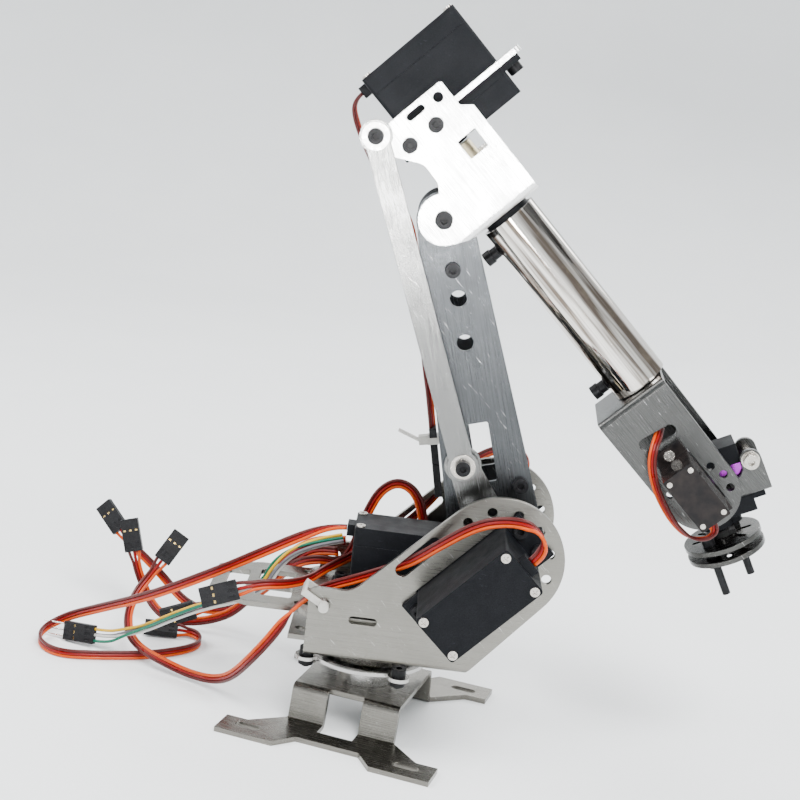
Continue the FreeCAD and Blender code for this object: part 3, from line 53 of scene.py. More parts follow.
# The frames that the routes of the leads are given in, in metres.
WAIST = Matrix.Rotation(math.radians(WAIST_YAW), 4, "Z")
ELBOW = WAIST @ Matrix.Translation((0.0085, 0, 0.1953)) @ Matrix.Rotation(math.radians(ELBOW_LEAN), 4, "Y")
FOREARM = ELBOW @ Matrix.Translation((0, 0, 0.018)) @ Matrix.Rotation(math.radians(FOREARM_ROLL), 4, "X")


# ---------------------------------------------------------------- camera

CAMERA_TARGET = (0.0007, 0, 0.12567)
CAMERA_DISTANCE = 0.54829
CAMERA_RISE = 12.69
CAMERA_SIDE = 0.28
CAMERA_ROLL = 6.94
CAMERA_LENS = 66.36


def make_camera():
    """Camera that looks along the waist frame's Y axis, slightly from above."""
    target = Vector(CAMERA_TARGET)
    low, side = math.radians(CAMERA_RISE), math.radians(CAMERA_SIDE)
    back = Vector((math.sin(side) * math.cos(low), -math.cos(side) * math.cos(low), math.sin(low)))
    target, back = WAIST @ target, WAIST @ back
    data = bpy.data.cameras.new("camera")
    data.sensor_width = 36
    data.lens = CAMERA_LENS
    data.clip_start = 0.02
    data.clip_end = 20
    camera = bpy.data.objects.new("camera", data)
    bpy.context.scene.collection.objects.link(camera)
    camera.rotation_mode = "QUATERNION"
    turn = (-back).to_track_quat("-Z", "Y")
    roll = Matrix.Rotation(math.radians(CAMERA_ROLL), 4, "Z").to_quaternion()
    camera.rotation_quaternion = turn @ roll
    camera.location = target + back * CAMERA_DISTANCE
    bpy.context.scene.camera = camera


make_camera()


# ---------------------------------------------------------------- node materials

# Colours of marks, of oxide and of the washer, and the washer's inner and outer radius in metres, each as
# the two ends of a soft edge.
SCRATCH_WHITE = (0.9, 0.9, 0.89)
TARNISH_BROWN = (0.55, 0.45, 0.33)
OXIDE_BLACK = (0.004, 0.004, 0.0045)
OXIDE_WORN = (0.014, 0.014, 0.015)
WASHER_BRIGHT = (0.86, 0.85, 0.83)
WASHER_DULL = (0.7, 0.69, 0.67)
WASHER_INNER = (0.00285, 0.00295)
WASHER_OUTER = (0.0060, 0.0062)


class Paint:
    """A small helper that builds one material out of shader nodes."""

    def __init__(self, name):
        self.material = bpy.data.materials.new(name)
        self.material.use_nodes = True
        self.tree = self.material.node_tree
        self.shader = self.tree.nodes["Principled BSDF"]

    def node(self, kind, **values):
        made = self.tree.nodes.new(kind)
        for key, value in values.items():
            if key in made.bl_rna.properties:
                setattr(made, key, value)
            else:
                made.inputs[key.replace("_", " ")].default_value = value
        return made

    def link(self, source, socket):
        self.tree.links.new(source, socket)

    def set(self, **values):
        for key, value in values.items():
            socket = self.shader.inputs[key.replace("_", " ")]
            if isinstance(value, bpy.types.NodeSocket):
                self.link(value, socket)
            else:
                socket.default_value = value

    def coords(self, turn=(0, 0, 0), size=(1, 1, 1)):
        """Object coordinates in a turned frame, divided by size along its axes. Both are in metres."""
        place = self.node("ShaderNodeTexCoord").outputs["Object"]
        mapping = self.node("ShaderNodeMapping", vector_type="TEXTURE")
        mapping.inputs["Rotation"].default_value = turn
        mapping.inputs["Scale"].default_value = size
        self.link(place, mapping.inputs["Vector"])
        return mapping.outputs["Vector"]

    def noise(self, vector, scale=1.0, detail=3.0, rough=0.55):
        made = self.node("ShaderNodeTexNoise", Scale=scale, Detail=detail, Roughness=rough)
        self.link(vector, made.inputs["Vector"])
        return made.outputs["Fac"]

    def ramp(self, factor, low, high, start=0.3, end=0.7):
        made = self.node("ShaderNodeMapRange")
        made.inputs["From Min"].default_value = start
        made.inputs["From Max"].default_value = end
        made.inputs["To Min"].default_value = low
        made.inputs["To Max"].default_value = high
        self.link(factor, made.inputs["Value"])
        return made.outputs["Result"]

    def blend(self, factor, first, second):
        made = self.node("ShaderNodeMix", data_type="RGBA")
        self.link(factor, made.inputs["Factor"])
        for value, socket in ((first, made.inputs[6]), (second, made.inputs[7])):
            if isinstance(value, bpy.types.NodeSocket):
                self.link(value, socket)
            else:
                socket.default_value = (*value, 1)
        return made.outputs[2]

    def bump(self, height, distance, strength=1.0, under=None):
        made = self.node("ShaderNodeBump", Strength=strength, Distance=distance)
        self.link(height, made.inputs["Height"])
        if under is not None:
            self.link(under, made.inputs["Normal"])
        return made.outputs["Normal"]

    def soft_edges(self, radius):
        return self.node("ShaderNodeBevel", samples=4, Radius=radius).outputs["Normal"]


def brushed(name, colour, dark, turn, rough, grain=1.0):
    """Sheet metal with a rolled grain along the turned X axis, small scratches and handling marks."""
    p = Paint(name)
    long_grain = p.noise(p.coords(turn, (0.022, 0.00022, 0.00022)), 1.0, 4, 0.6)
    fine_grain = p.noise(p.coords(turn, (0.006, 0.00008, 0.00008)), 1.0, 2, 0.5)
    marks = p.noise(p.coords((0.3, 0.2, 0.9), (0.02, 0.02, 0.02)), 1.0, 5, 0.65)
    scuffs = p.noise(p.coords((0.5, 0.8, 0.4), (0.012, 0.0006, 0.0006)), 1.0, 3, 0.6)
    tone = p.blend(p.ramp(long_grain, 0, 1, 0.3, 0.72), dark, colour)
    tone = p.blend(p.ramp(marks, 0, 0.35, 0.45, 0.75), tone, tuple(0.8 * c for c in dark))
    tone = p.blend(p.ramp(scuffs, 0, 0.35, 0.66, 0.74), tone, SCRATCH_WHITE)
    gloss = p.ramp(long_grain, rough - 0.06, rough + 0.07, 0.3, 0.7)
    spread = p.node("ShaderNodeMath", operation="ADD")
    p.link(gloss, spread.inputs[0])
    p.link(p.ramp(marks, -0.03, 0.08, 0.35, 0.7), spread.inputs[1])
    normal = p.bump(fine_grain, 0.00003 * grain, 0.55, p.soft_edges(0.00035))
    normal = p.bump(long_grain, 0.00004 * grain, 0.4, normal)
    p.set(Base_Color=tone, Metallic=1.0, Roughness=spread.outputs[0], Normal=normal)
    return p.material


def moulded(name, colour, light, rough, grain=0.00035, depth=0.00004, worn=0.25):
    """Spark-textured moulded plastic, with paler rubbed places."""
    p = Paint(name)
    flat = p.coords()
    grains = p.noise(flat, 1 / grain, 2, 0.5)
    clouds = p.noise(flat, 160, 4, 0.6)
    rubbed = p.noise(p.coords((0.4, 0.2, 0.7), (0.014, 0.0012, 0.0012)), 1.0, 3, 0.6)
    tone = p.blend(p.ramp(grains, 0, 0.6, 0.35, 0.7), colour, light)
    tone = p.blend(p.ramp(clouds, 0, 0.3, 0.45, 0.7), tone, tuple(0.6 * c for c in colour))
    tone = p.blend(p.ramp(rubbed, 0, worn, 0.66, 0.78), tone, tuple(min(1, 3.2 * c) for c in light))
    normal = p.bump(grains, depth, 0.8, p.soft_edges(0.0004))
    p.set(Base_Color=tone, Roughness=p.ramp(clouds, rough - 0.06, rough + 0.08), Normal=normal)
    p.set(Specular_IOR_Level=0.08)
    return p.material


def glossy_plastic(name, colour, light, rough, coat):
    """Smooth plastic with a thin clear gloss and faint clouds."""
    p = Paint(name)
    flat = p.coords()
    clouds = p.noise(flat, 220, 4, 0.6)
    fine = p.noise(flat, 1500, 2, 0.5)
    tone = p.blend(p.ramp(clouds, 0, 1, 0.35, 0.65), colour, light)
    normal = p.bump(fine, 0.00002, 0.35, p.soft_edges(0.0003))
    p.set(Base_Color=tone, Roughness=p.ramp(clouds, rough - 0.04, rough + 0.07), Normal=normal)
    p.set(Coat_Weight=coat, Coat_Roughness=0.12, Specular_IOR_Level=0.12)
    return p.material


def polished(name, colour, dark, turn, rough):
    """Plated or anodised metal: mirror-like, with fine rings and faint stains."""
    p = Paint(name)
    rings = p.noise(p.coords(turn, (0.0004, 0.02, 0.02)), 1.0, 3, 0.6)
    stains = p.noise(p.coords((0.2, 0.5, 0.1), (0.01, 0.01, 0.01)), 1.0, 5, 0.65)
    tone = p.blend(p.ramp(stains, 0, 0.15, 0.45, 0.75), colour, dark)
    normal = p.bump(rings, 0.00001, 0.3, p.soft_edges(0.0003))
    p.set(Base_Color=tone, Metallic=1.0, Roughness=p.ramp(stains, rough, rough + 0.06), Normal=normal)
    return p.material


def chrome(name, colour, dark, turn, rough):
    """Chromed tube: mirror-like, with long dark streaks along the turned X axis that are painted reflections
    in its colour and drawing marks in its bump, and tarnish stains.
    """
    p = Paint(name)
    drawing_marks_and_painted_reflections = p.noise(p.coords(turn, (0.09, 0.0032, 0.0032)), 1.0, 3, 0.55)
    fine = p.noise(p.coords(turn, (0.03, 0.0005, 0.0005)), 1.0, 3, 0.6)
    stains = p.noise(p.coords((0.2, 0.5, 0.1), (0.01, 0.01, 0.01)), 1.0, 5, 0.65)
    # Painted reflections: long dark streaks along the tube's axis, put into its colour.
    tone = p.blend(p.ramp(drawing_marks_and_painted_reflections, 0, 1, 0.42, 0.56), colour, dark)
    # Finer dark streaks along the axis: more painted reflections.
    tone = p.blend(p.ramp(fine, 0, 0.4, 0.55, 0.7), tone, tuple(0.6 * c for c in dark))
    tone = p.blend(p.ramp(stains, 0, 0.25, 0.5, 0.75), tone, TARNISH_BROWN)
    normal = p.bump(drawing_marks_and_painted_reflections, 0.0004, 0.35, p.soft_edges(0.0003))
    p.set(Base_Color=tone, Metallic=1.0, Roughness=p.ramp(stains, rough, rough + 0.06), Normal=normal)
    return p.material


def oxide(name, colour, light, rough, metal=0.9):
    """Small metal parts such as screws, shafts and motors, mottled and rubbed."""
    p = Paint(name)
    flat = p.coords()
    mottle = p.noise(flat, 900, 4, 0.6)
    worn = p.noise(flat, 2600, 3, 0.6)
    tone = p.blend(p.ramp(mottle, 0, 0.7, 0.35, 0.7), colour, light)
    tone = p.blend(p.ramp(worn, 0, 0.3, 0.6, 0.75), tone, tuple(min(1, 2.4 * c) for c in light))
    normal = p.bump(mottle, 0.00003, 0.4, p.soft_edges(0.0002))
    p.set(Base_Color=tone, Metallic=metal, Roughness=p.ramp(mottle, rough - 0.05, rough + 0.1), Normal=normal)
    p.set(Specular_IOR_Level=0.15)
    return p.material


def wire_skin(name, colour):
    """Glossy PVC of one wire, a little uneven along its length."""
    p = Paint(name)
    flat = p.coords()
    clouds = p.noise(flat, 300, 4, 0.6)
    fine = p.noise(flat, 2400, 2, 0.5)
    tone = p.blend(p.ramp(clouds, 0, 0.5, 0.35, 0.7), colour, tuple(0.72 * c for c in colour))
    p.set(Base_Color=tone, Roughness=p.ramp(clouds, 0.25, 0.4))
    p.set(Normal=p.bump(fine, 0.00002, 0.4), Coat_Weight=0.06, Coat_Roughness=0.1)
    p.set(Specular_IOR_Level=0.2)
    return p.material


def washered_oxide(name, spot):
    """Black-oxide screws, with a bright washer round the pin at spot, its x and z in the waist's frame."""
    p = Paint(name)
    flat = p.coords()
    mottle = p.noise(flat, 900, 4, 0.6)
    place = p.node("ShaderNodeTexCoord").outputs["Object"]
    centre = WAIST @ Vector((spot[0], 0, spot[1]))
    away = p.node("ShaderNodeVectorMath", operation="SUBTRACT")
    away.inputs[1].default_value = centre
    p.link(place, away.inputs[0])
    cross = p.node("ShaderNodeVectorMath", operation="CROSS_PRODUCT")
    cross.inputs[1].default_value = WAIST.to_3x3() @ Vector((0, 1, 0))
    p.link(away.outputs["Vector"], cross.inputs[0])
    length = p.node("ShaderNodeVectorMath", operation="LENGTH")
    p.link(cross.outputs["Vector"], length.inputs[0])
    ring = p.ramp(length.outputs["Value"], 0, 1, *WASHER_INNER)
    edge = p.ramp(length.outputs["Value"], 1, 0, *WASHER_OUTER)
    mask = p.node("ShaderNodeMath", operation="MULTIPLY")
    p.link(ring, mask.inputs[0])
    p.link(edge, mask.inputs[1])
    black = p.blend(p.ramp(mottle, 0, 0.7, 0.35, 0.7), OXIDE_BLACK, OXIDE_WORN)
    bright = p.blend(p.ramp(mottle, 0, 1, 0.35, 0.7), WASHER_BRIGHT, WASHER_DULL)
    normal = p.bump(mottle, 0.00003, 0.4, p.soft_edges(0.0002))
    p.set(Base_Color=p.blend(mask.outputs[0], black, bright), Metallic=p.ramp(mask.outputs[0], 0.1, 1, 0, 1))
    p.set(Roughness=p.ramp(mottle, 0.25, 0.38), Normal=normal, Specular_IOR_Level=0.1)
    return p.material


def along(lean, yaw=WAIST_YAW):
    """Turn of a texture whose X axis leans about Y and then yaws about Z, in degrees."""
    return (0.0, math.radians(lean), math.radians(yaw))


BROWN = wire_skin("wire_brown", (0.075, 0.009, 0.008))
RED = wire_skin("wire_red", (0.19, 0.001, 0.001))
ORANGE = wire_skin("wire_orange", (0.48, 0.055, 0.0005))
YELLOW = wire_skin("wire_yellow", (0.62, 0.36, 0.01))
TEAL = wire_skin("wire_teal", (0.006, 0.13, 0.075))
WHITE = wire_skin("wire_white", (0.5, 0.5, 0.48))
GREY = wire_skin("wire_grey", (0.16, 0.16, 0.18))
GOLD = polished("contact_gold", (0.86, 0.62, 0.25), (0.6, 0.4, 0.15), (0, 0, 0), 0.22)
PLUG = moulded("plug_nylon", (0.012, 0.012, 0.013), (0.03, 0.03, 0.032), 0.38, 0.0004, 0.00003, 0.1)
PIN = polished("pin_plate", (0.8, 0.78, 0.74), (0.5, 0.48, 0.45), (0, 0, 0), 0.2)


# ---------------------------------------------------------------- cords

WIRE_SIDES = 10
RIBBON_WIDTH = 0.0039
WRIST_RIBBON_WIDTH = 0.0034
WIRE_PITCH_SHARE = 0.328
WIRE_RADIUS_SHARE = 0.172
PLUG_FAN = 1.75
JUMPER_WIRE_RADIUS = 0.0006

# The connectors' shells, in metres along, across and over.
PLUG_LONG, PLUG_BROAD, PLUG_HIGH = 0.014, 0.0076, 0.0027
SOCKET_LONG = 0.0126
SOCKET_START = 0.0138
PLUG_OVERLAP = 0.0006
CONTACT_PITCH = 0.00254
LANES = (-1, 0, 1)
LANE_HALF = 0.0007
LATCH = (0.0012, 0.0040)
WINDOW = (0.0086, 0.0096)
LATCH_DEPTH = 0.0003
WINDOW_DEPTH = 0.0006
MOUTH_DEPTH = 0.003
RIM = 0.00012
PIN_LONG, PIN_THICK = 0.0115, 0.0006


def centre_line(points):
    """Points along the smooth NURBS spline of a route."""
    data = bpy.data.curves.new("route", "CURVE")
    data.dimensions = "3D"
    data.resolution_u = 12
    spline = data.splines.new("NURBS")
    spline.points.add(len(points) - 1)
    for spot, point in zip(spline.points, points):
        spot.co = (*point, 1.0)
    spline.order_u = 3
    spline.use_endpoint_u = True
    holder = bpy.data.objects.new("route", data)
    mesh = bpy.data.meshes.new_from_object(holder)
    line = [v.co.copy() for v in mesh.vertices]
    bpy.data.meshes.remove(mesh)
    bpy.data.objects.remove(holder)
    bpy.data.curves.remove(data)
    return line


def between(keys, place):
    """Value at a place along a route, from (place, value) pairs in order."""
    for (a, low), (b, high) in zip(keys, keys[1:]):
        if place <= b:
            share = max(0.0, (place - a) / (b - a))
            share = share * share * (3 - 2 * share)
            return low * (1 - share) + high * share
    return keys[-1][1]


def wires(name, line, span, sides, strands, radius):
    """One mesh of separate wires that run beside a centreline. span is the number of route points less
    one; sides gives the direction from the last wire to the first, and each strand its offsets from the
    centreline along the route as (place, (across, over)) pairs in metres, and its material."""
    keys = [(place, Vector(side).normalized()) for place, side in sides]
    last = len(line) - 1
    cross = []
    for i, spot in enumerate(line):
        ahead = (line[min(i + 1, last)] - line[max(i - 1, 0)]).normalized()
        side = between(keys, span * i / last)
        side = (side - ahead * side.dot(ahead)).normalized()
        cross.append((spot, side, ahead.cross(side)))
    mesh = bmesh.new()
    for slot, (offsets, _) in enumerate(strands):
        rings = []
        track = [(place, Vector(offset)) for place, offset in offsets]
        for i, (spot, side, over) in enumerate(cross):
            shift = between(track, span * i / last)
            middle = spot + side * shift[0] + over * shift[1]
            ring = []
            for k in range(WIRE_SIDES):
                angle = 2 * math.pi * k / WIRE_SIDES
                out = side * math.cos(angle) + over * math.sin(angle)
                ring.append(mesh.verts.new(middle + out * radius))
            rings.append(ring)
        for low, high in zip(rings, rings[1:]):
            for k in range(WIRE_SIDES):
                after = (k + 1) % WIRE_SIDES
                face = mesh.faces.new((low[k], low[after], high[after], high[k]))
                face.smooth = True
                face.material_index = slot
        mesh.faces.new(list(reversed(rings[0]))).material_index = slot
        mesh.faces.new(rings[-1]).material_index = slot
    data = bpy.data.meshes.new(name)
    mesh.to_mesh(data)
    mesh.free()
    for _, material in strands:
        data.materials.append(material)
    made = bpy.data.objects.new(name, data)
    bpy.context.scene.collection.objects.link(made)
    return made


def box_piece(mesh, size, centre, slot, round_by):
    """Adds a box with rounded edges to a bmesh, with its size and centre in metres."""
    made = bmesh.ops.create_cube(mesh, size=1.0)["verts"]
    for v in made:
        v.co = Vector([v.co[k] * size[k] for k in range(3)])
    edges = {e for v in made for e in v.link_edges}
    out = bmesh.ops.bevel(mesh, geom=list(edges), offset=round_by, segments=2, affect="EDGES", profile=0.6)
    made = {v for f in out["faces"] for v in f.verts}
    for v in made:
        v.co += Vector(centre)
    for face in {f for v in made for f in v.link_faces}:
        face.material_index = slot


def plug_piece(name, start, ahead, wide, pins=False, long=PLUG_LONG):
    """Three-way connector shell that begins at a lead's end, with latches and small contact windows."""
    ahead = Vector(ahead).normalized()
    wide = Vector(wide)
    wide = (wide - ahead * wide.dot(ahead)).normalized()
    turn = Matrix((ahead, wide, ahead.cross(wide))).transposed()
    mesh = bmesh.new()
    bmesh.ops.create_cube(mesh, size=1.0)
    for v in mesh.verts:
        v.co = Vector((v.co[0] * long + long / 2, v.co[1] * PLUG_BROAD, v.co[2] * PLUG_HIGH))
    cuts = [((x, 0, 0), (1, 0, 0)) for x in (*LATCH, *WINDOW)]
    cuts += [((0, CONTACT_PITCH * k + edge, 0), (0, 1, 0)) for k in LANES for edge in (-LANE_HALF, LANE_HALF)]
    for spot, normal in cuts:
        geometry = mesh.verts[:] + mesh.edges[:] + mesh.faces[:]
        bmesh.ops.bisect_plane(mesh, geom=geometry, plane_co=spot, plane_no=normal)
    windows, latches, mouths = [], [], []
    for face in mesh.faces:
        spot = face.calc_center_median()
        if min(abs(spot[1] - CONTACT_PITCH * k) for k in LANES) > LANE_HALF / 2:
            continue
        flat_side = abs(spot[2]) > PLUG_HIGH * 0.49
        if flat_side and WINDOW[0] < spot[0] < WINDOW[1]:
            windows.append(face)
        elif flat_side and LATCH[0] < spot[0] < LATCH[1]:
            latches.append(face)
        elif spot[0] > long - 1e-5:
            mouths.append(face)
    recesses = ((windows, WINDOW_DEPTH, 1), (latches, LATCH_DEPTH, 0), (mouths, MOUTH_DEPTH, 0))
    for faces, depth, slot in recesses:
        for face in faces:
            push = face.normal.copy()
            bmesh.ops.inset_individual(mesh, faces=[face], thickness=RIM, depth=0)
            floor = bmesh.ops.extrude_discrete_faces(mesh, faces=[face])["faces"][0]
            bmesh.ops.translate(mesh, verts=floor.verts[:], vec=push * -depth)
            floor.material_index = slot
    outer = [e for e in mesh.edges if len(e.link_faces) == 2 and e.calc_face_angle() > 1.2
             and all(abs(abs(v.co[1]) - PLUG_BROAD / 2) < 1e-6 for v in e.verts)]
    bmesh.ops.bevel(mesh, geom=outer, offset=0.00025, segments=2, affect="EDGES", profile=0.6)
    if pins:
        for k in LANES:
            box_piece(mesh, (PIN_LONG, PIN_THICK, PIN_THICK), (long + 0.0045, CONTACT_PITCH * k, 0), 2, RIM)
    start = Vector(start)
    for v in mesh.verts:
        v.co = turn @ v.co + start
    bmesh.ops.recalc_face_normals(mesh, faces=mesh.faces[:])
    data = bpy.data.meshes.new(name)
    mesh.to_mesh(data)
    mesh.free()
    for material in (PLUG, GOLD, PIN):
        data.materials.append(material)
    made = bpy.data.objects.new(name, data)
    bpy.context.scene.collection.objects.link(made)
    return made


def ribbon_strands(span, pitch, fan):
    """Brown, red and orange wires that fan out by a factor in the last half of the route's last run."""
    out = []
    for k, material in ((1, BROWN), (0, RED), (-1, ORANGE)):
        beside = (pitch * k, 0)
        keys = [(0, beside), (span - 0.5, beside), (span, (pitch * k * fan, 0))]
        out.append((keys, material))
    return out


def servo_lead(name, node, body, points, sides, base=WAIST, plug=True, width=RIBBON_WIDTH,
               face=None, shells="lead_plugs", bend=None):
    """A flat three-wire servo lead along its route, with its plug when it has one. sides are the directions
    from the last wire to the first, at places along the route, and face is the plug's. bend adds a socket
    past the plug and leaves the lead fixed where it lies, on no body; the body and the two ends of a stretch
    that it gives are not used."""
    spots = [base @ Vector(p) for p in points]
    hints = [(place, base.to_3x3() @ Vector(side)) for place, side in sides]
    line = centre_line(spots)
    span = len(points) - 1
    strands = ribbon_strands(span, width * WIRE_PITCH_SHARE, PLUG_FAN if plug else 1.0)
    made = wires(name, line, span, hints, strands, width * WIRE_RADIUS_SHARE)
    with_pieces = []
    if plug:
        ahead = (spots[-1] - spots[-2]).normalized()
        wide = base.to_3x3() @ Vector(face) if face else hints[-1][1]
        with_pieces.append(plug_piece(name + "_plug", spots[-1] - ahead * PLUG_OVERLAP, ahead, wide))
        if bend:
            start = spots[-1] + ahead * SOCKET_START
            with_pieces.append(plug_piece(name + "_socket", start, ahead, wide, long=SOCKET_LONG))
        for shell in with_pieces:
            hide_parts(shells)
            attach(shell, body)
    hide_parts(node)
    if bend:
        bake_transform(made)
    else:
        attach(made, body)


# The leads' routes, in metres: the wrist's in the forearm's frame and all others in the waist's.
WAIST_LEAD = [
    (-0.0134, 0, 0.0741), (-0.0195, -0.0002, 0.0738), (-0.031, -0.0025, 0.0688), (-0.045, -0.0075, 0.0618),
    (-0.064, -0.0115, 0.0519), (-0.088, 0.006, 0.0339), (-0.112, 0.030, 0.0168), (-0.127, 0.042, 0.0069),
    (-0.1352, 0.034, 0.0032), (-0.133, 0.0225, 0.0021), (-0.1228, 0.0146, 0.0021),
    (-0.1068, 0.0178, 0.0021), (-0.0897, 0.0233, 0.0021), (-0.078, 0.031, 0.0021), (-0.071, 0.0385, 0.0022),
    (-0.0703, 0.0465, 0.0024), (-0.0755, 0.0522, 0.0028), (-0.082, 0.0514, 0.003)]
CRANK_LEAD = [
    (0.05236, -0.0548, 0.08724), (0.0558, -0.0548, 0.0909), (0.0552, -0.0544, 0.0972),
    (0.048, -0.052, 0.100), (0.0384, -0.048, 0.0978), (0.0311, -0.0435, 0.0932), (0.0225, -0.037, 0.0846),
    (0.0127, -0.028, 0.0736), (0.0035, -0.0215, 0.0665), (-0.008, -0.0205, 0.061),
    (-0.019, -0.0225, 0.0572), (-0.0288, -0.0264, 0.0495), (-0.0352, -0.028, 0.0382),
    (-0.0425, -0.0235, 0.0265), (-0.0505, -0.010, 0.0124), (-0.0585, 0.002, 0.0046),
    (-0.069, 0.008, 0.0032), (-0.0805, 0.0126, 0.005), (-0.090, 0.0184, 0.0065),
    (-0.0964, 0.027, 0.0073), (-0.100, 0.0365, 0.0084), (-0.1016, 0.045, 0.012),
    (-0.100, 0.0515, 0.018), (-0.0956, 0.0566, 0.0242), (-0.0918, 0.0602, 0.0304)]
SHOULDER_LEAD = [
    (0.05236, 0.0548, 0.08724), (0.0558, 0.0548, 0.0909), (0.0552, 0.0544, 0.0972),
    (0.048, 0.052, 0.100), (0.0384, 0.048, 0.0978), (0.0311, 0.0435, 0.0932), (0.0225, 0.037, 0.0846),
    (0.0127, 0.028, 0.0736), (0.004, 0.019, 0.068), (-0.005, 0.0145, 0.062), (-0.0135, 0.012, 0.0568),
    (-0.0206, 0.004, 0.0546), (-0.0254, -0.007, 0.0538), (-0.033, -0.0165, 0.0544),
    (-0.0423, -0.0216, 0.0553), (-0.0505, -0.0234, 0.0526)]
ROLL_LEAD = [
    (-0.02568, 0, 0.2349), (-0.0285, 0.0001, 0.232), (-0.0272, 0.0008, 0.2255), (-0.0215, 0.0025, 0.2145),
    (-0.0135, 0.004, 0.2035), (-0.0045, 0.005, 0.1925), (-0.0005, 0.006, 0.1805), (0.003, 0.007, 0.1665),
    (0.0064, 0.008, 0.151), (0.0096, 0.0088, 0.136), (0.0142, 0.009, 0.1144)]
JUMPER_LEAD = [
    (-0.015, 0.0175, 0.0636), (-0.024, 0.016, 0.0616), (-0.034, 0.012, 0.0576), (-0.0395, 0.009, 0.052),
    (-0.043, 0.0075, 0.044), (-0.052, 0.005, 0.0385), (-0.066, 0.004, 0.0338), (-0.078, 0.010, 0.0256),
    (-0.090, 0.0182, 0.0158), (-0.0996, 0.0242, 0.0098), (-0.1062, 0.0276, 0.006), (-0.1126, 0.0298, 0.0054)]
UPPER_LEAD_A = [
    (0.016, 0.017, 0.072), (0.0142, 0.018, 0.080), (0.010, 0.0196, 0.0865), (0.0035, 0.0208, 0.0884),
    (-0.0026, 0.0212, 0.084), (-0.0064, 0.021, 0.0755), (-0.009, 0.021, 0.066), (-0.011, 0.0205, 0.058),
    (-0.0148, 0.0202, 0.0529), (-0.024, 0.022, 0.0526), (-0.0335, 0.028, 0.0475), (-0.040, 0.039, 0.0365),
    (-0.048, 0.051, 0.0245), (-0.0575, 0.059, 0.014), (-0.068, 0.062, 0.0094), (-0.0765, 0.063, 0.0094),
    (-0.084, 0.0645, 0.013), (-0.0916, 0.0685, 0.019), (-0.1004, 0.073, 0.0248), (-0.1092, 0.077, 0.0296),
    (-0.1148, 0.080, 0.035)]
UPPER_LEAD_B = [
    (-0.014, 0.0234, 0.061), (-0.023, 0.0244, 0.0602), (-0.0325, 0.029, 0.054), (-0.041, 0.038, 0.042),
    (-0.049, 0.046, 0.028), (-0.058, 0.0515, 0.0144), (-0.0685, 0.056, 0.0074), (-0.080, 0.058, 0.0042),
    (-0.089, 0.0595, 0.005), (-0.0954, 0.0615, 0.0098), (-0.0998, 0.0638, 0.0168),
    (-0.1034, 0.065, 0.024), (-0.1054, 0.0662, 0.031)]
UPPER_LEAD_C = [
    (-0.0165, 0.0189, 0.0575), (-0.025, 0.0235, 0.0562), (-0.033, 0.0296, 0.0485), (-0.041, 0.034, 0.038),
    (-0.051, 0.0355, 0.029), (-0.062, 0.0346, 0.0244), (-0.073, 0.0328, 0.0204)]
WRIST_LEAD = [
    (0.14245, -0.0294, -0.0083), (0.1458, -0.0293, -0.0086), (0.1476, -0.0278, -0.0134),
    (0.144, -0.0262, -0.0184), (0.137, -0.025, -0.0198), (0.129, -0.024, -0.0188), (0.121, -0.023, -0.0166),
    (0.1144, -0.0218, -0.013), (0.1106, -0.0199, -0.0088), (0.1096, -0.0154, -0.0058),
    (0.1086, -0.0104, -0.0036)]

servo_lead("waist_lead", "waist_servo_lead", "waist", WAIST_LEAD,
           [(0, (0, 1, 0)), (2, (0, 0.5, 1)), (3.5, (0, 0, 1)), (15, (0, 0, 1)), (17, (0, 0.6, 1))],
           face=(0, 1, 0.3))
servo_lead("crank_lead", "crank_servo_lead", "waist", CRANK_LEAD,
           [(0, (-1, 0, 0)), (1.6, (0, 1, 0)), (3, (0, 0, 1)), (9.5, (0, 0, 1)), (10.8, (0, 1, 0)),
            (12, (0.8, 0, -0.6)), (15.5, (0, 0, -1)), (18, (0, 0, -1)), (20.5, (-0.9, 0, -0.4)),
            (24, (-0.9, 0, 0.4))])
servo_lead("shoulder_lead", "shoulder_servo_lead", "waist", SHOULDER_LEAD,
           [(0, (-1, 0, 0)), (1.6, (0, -1, 0)), (3, (0, 0, 1)), (13, (0, 0, 1)), (15, (0, 0.4, 1))])
servo_lead("upper_lead_a", "upper_leads", "waist", UPPER_LEAD_A,
           [(0, (1, 0, 0)), (1, (1, 0, 0.2)), (3, (0, 0, 1)), (4.5, (-0.8, 0, 0.5)), (6, (-1, 0, 0.1)),
            (7.5, (-1, 0, 0.2)), (9.5, (0, 0, 1)), (14, (0.1, 0, 1)), (17, (0.6, 0, 0.8)),
            (20, (0.7, 0, 0.7))])
servo_lead("upper_lead_b", "upper_leads", "waist", UPPER_LEAD_B,
           [(0, (0, 0, -1)), (7, (0, 0, -1)), (9, (-0.7, 0, -0.7)), (12, (-1, 0, -0.2))])
servo_lead("upper_lead_c", "upper_leads", "waist", UPPER_LEAD_C,
           [(0, (0, 0, 1)), (6, (0, 0, 1))])
servo_lead("roll_lead", "roll_servo_lead", "upper_arm", ROLL_LEAD,
           [(0, (0, -1, 0)), (2, (-0.3, -0.9, 0)), (5, (-0.8, -0.5, -0.2)), (9, (-0.9, -0.4, -0.1)),
            (10, (-0.3, -1, 0))],
           face=(0, 1, 0), shells="arm_plugs",
           bend=("elbow", (0.0065, 0.008, 0.150), (-0.022, 0.002, 0.214)))
servo_lead("wrist_lead", "wrist_servo_lead", "forearm", WRIST_LEAD,
           [(0, (0, 0, 1)), (1.5, (0, -1, 0.3)), (3.5, (0.5, -0.8, 0.6)), (6, (0, -0.5, 1)),
            (8, (0.3, -0.3, 1)), (10, (0.8, 0, 0.4))],
           base=FOREARM, plug=False, width=WRIST_RIBBON_WIDTH)


